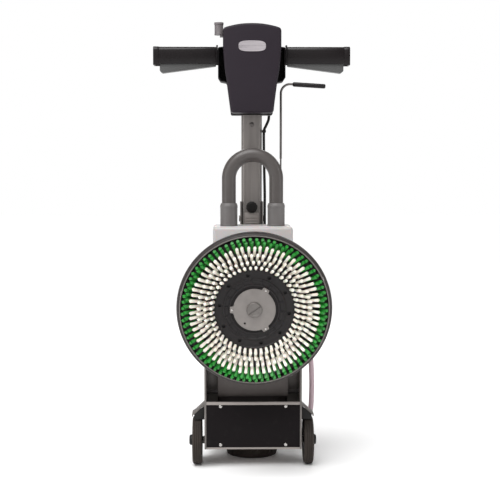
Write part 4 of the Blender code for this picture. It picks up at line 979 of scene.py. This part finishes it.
def build_console():
    z0, top = CONSOLE_Z, CONSOLE_Z + CONSOLE_H
    right = [(0.0, top), (0.015, top - 0.0004), (0.028, top - 0.0015), (0.040, top - 0.0034),
             (0.050, top - 0.0055), (0.060, top - 0.0079), (0.066, top - 0.0097), (0.0700, top - 0.0115),
             (0.0727, top - 0.0145), (0.0740, top - 0.0190), (0.0740, z0 + 0.168), (0.0718, z0 + 0.138),
             (0.069, z0 + 0.108), (0.0635, z0 + 0.077), (0.0603, z0 + 0.052), (0.057, z0 + 0.027),
             (0.054, z0)]
    fit(tray(mirrored(right), 0.055, 0.110, 0.0028, 0.0065), "console_front_cover", CONSOLE_SHELL,
        "console_front")
    fit(copied("console_rear", 0.0006), "console_rear_cover", CASE_BLACK, "console_rear")

    # Plain badge plate: an oval rim round a flat face, with nothing on it.
    badge_z, half_w, half_h = top - 0.0580, 0.0345, 0.0135
    oval = [(half_w * math.copysign(abs(math.cos(a)) ** 0.62, math.cos(a)),
             half_h * math.copysign(abs(math.sin(a)) ** 0.62, math.sin(a)))
            for a in (2 * math.pi * (k + 0.5) / 64 for k in range(64))]
    inner = [(px * 0.93, pz * 0.84) for px, pz in oval]
    place = Matrix.Translation((0.0, 0.0550, badge_z))
    rim = extruded(oval, -0.0010, 0.0004, "Y", 0.0003, 2, place, hole=inner)
    face = extruded([(px * 0.97, pz * 0.9) for px, pz in oval], -0.0005, 0.0004, "Y", 0.0, 2, place)
    fit(joined([rim, face]), "badge_plate", BADGE_SILVER, body="handle")

    fit(copied("mains_inlet", 0.0004), "mains_inlet_socket", INLET_GREY, "mains_inlet")
    fit(copied("lock_button", 0.0005), "lock_button_cap", BUTTON_AMBER, "lock_button")
    fit(copied("vacuum_switch", 0.0008), "vacuum_switch_rocker", SWITCH_GREEN, "vacuum_switch")

    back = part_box("console_rear")[1].y
    button_lo, button_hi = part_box("lock_button")
    middle = (button_lo + button_hi) / 2
    r = (button_hi.x - button_lo.x) / 2 + 0.0008
    collar = [(r, 0.0), (r, 0.0022), (r + 0.0014, 0.0036), (r + 0.0036, 0.0032), (r + 0.0050, 0.0014),
              (r + 0.0050, 0.0)]
    fit(turned(collar[::-1], facing_back((middle.x, back, middle.z)), 64, 0.0003), "lock_button_collar",
        CASE_BLACK, body="handle")
    low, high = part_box("vacuum_switch")

    def rim_of(gap):
        return [(low.x - gap, low.z - gap), (high.x + gap, low.z - gap), (high.x + gap, high.z + gap),
                (low.x - gap, high.z + gap)]

    fit(extruded(rim_of(0.0050), back, back + 0.0022, "Y", 0.0008, 2, hole=rim_of(0.0012)),
        "vacuum_switch_bezel", CASE_BLACK, body="handle")

    head = screw_head(0.0036, 0.0014)
    head.data.transform(Matrix.Rotation(-math.pi / 2, 4, "X"))
    place = Matrix.Translation((-0.052, 0.168, z0 + 0.085))
    fit(in_rows(head, place, STEEL_DARK, 2, 2, 0.104, 0.108), "rear_cover_screws", STEEL_DARK, body="handle")


def build_grips():
    y, hy = 0.132, 0.020
    high, low = CONSOLE_Z + 0.1727, CONSOLE_Z + 0.1276

    def arch(out, drop=0.0):
        """Half of a grip's section: straight sides under a rounded top."""
        pts = [(y - hy - out, low - drop)]
        for k in range(15):
            a = math.pi * k / 14
            c = math.copysign(abs(math.cos(a)) ** 0.55, math.cos(a))
            s = math.sin(a) ** 0.75
            pts.append((y - (hy + out) * c, high - 0.0135 + (0.0135 + out) * s))
        pts.append((y + hy + out, low - drop))
        return pts

    def hood(out, thick, x0, x1, drop=0.0):
        outer = arch(out, drop)
        inside = [(y + (py - y) * (hy + out - thick) / (hy + out),
                   pz - (thick if 0 < i < len(outer) - 1 else 0))
                  for i, (py, pz) in enumerate(outer)]
        section = outer + list(reversed(inside))
        return extruded(section, x0, x1, "X", 0.0005, 2)

    for side, sign in (("left", -1), ("right", 1)):
        x0, x1 = 0.0873, 0.2540
        body = hood(0.0, 0.003, sign * x0, sign * (x1 - 0.004))
        end = extruded(arch(0.0, 0.0026), sign * (x1 - 0.0045), sign * x1, "X", 0.0012, 3)
        fit(joined([body, end]), "grip_%s_hood" % side, GRIP_BLACK, "grip_" + side)
        cap = hood(0.0008, 0.0009, sign * (x1 - 0.0150), sign * (x1 - 0.0002), 0.0026)
        fit(cap, "grip_%s_end_band" % side, GRIP_BLACK, body="handle")
        collar = hood(0.0042, 0.0040, sign * x0, sign * (x0 + 0.0042), -0.003)
        fit(collar, "grip_%s_collar" % side, CASE_BLACK, body="handle")
        fit(copied("trigger_" + side, 0.0), "trigger_%s_paddle" % side, PADDLE_GREY, "trigger_" + side)


# ---------------------------------------------------------------- lift rod
def build_rod():
    x, y, bottom, corner = 0.0757, 0.1255, 0.330, 0.024
    bend = CONSOLE_Z + 0.0530 - bottom
    upper = [Vector((0, 0, 0.4385)), Vector((0, 0, 0.50)), Vector((0, 0, 0.56))]
    for k in range(13):
        a = math.radians(7.5 * k)
        upper.append(Vector((corner - corner * math.cos(a), 0, bend + corner * math.sin(a))))
    upper.append(Vector((0.0305, 0, bend + corner - 0.0003)))
    place = Matrix.Translation((x, y, bottom))
    thick = sweep(upper, 0.0030, 20, place)
    thin = sweep([(0, 0, 0.0), (0, 0, 0.2), (0, 0, 0.4390)], 0.0021, 16, place)
    fit(joined([thick, thin]), "lift_rod_bar", STEEL_DARK, "lift_rod")
    grip = [(0, 0.0), (0.0045, 0.0), (0.0060, 0.003), (0.0060, 0.082), (0.0045, 0.085), (0, 0.085)]
    sleeve = Matrix.Translation((0.0308, 0, bend + corner - 0.0004))
    at = place @ sleeve @ Matrix.Rotation(math.radians(93.5), 4, "Y")
    fit(turned(grip, at, 32, 0.0012), "rod_grip_sleeve", GRIP_BLACK, "rod_grip")


# ---------------------------------------------------------------- nodes that keep their own shape
CARRIED = {
    "axle": (STEEL_DARK, 0.0004),
    # The deck pivot pin's dark finish is partly black paint, partly painted shade of the recess under the deck.
    "deck_pivot_pin": (CAST_DARK, 0.0004),
    "handle_pivot_pin": (STEEL_DARK, 0.0004),
    "tank_outlet": (CASE_BLACK, 0.0004),
    "chassis_inlet": (CASE_BLACK, 0.0004),
    "valve_body": (CASE_BLACK, 0.0006),
    "internal_gear": (STEEL_DARK, 0.0),
    "rotor": (STEEL_DARK, 0.0),
    "stator": (COPPER, 0.0006),
}


def build_carried():
    for node, (mat, edge) in CARRIED.items():
        fit(copied(node, edge), node + "_part", mat, node)


build_brush()
build_deck()
build_chassis()
build_tank()
build_wheels()
build_handle()
build_console()
build_grips()
build_rod()
build_carried()

bpy.context.view_layer.update()
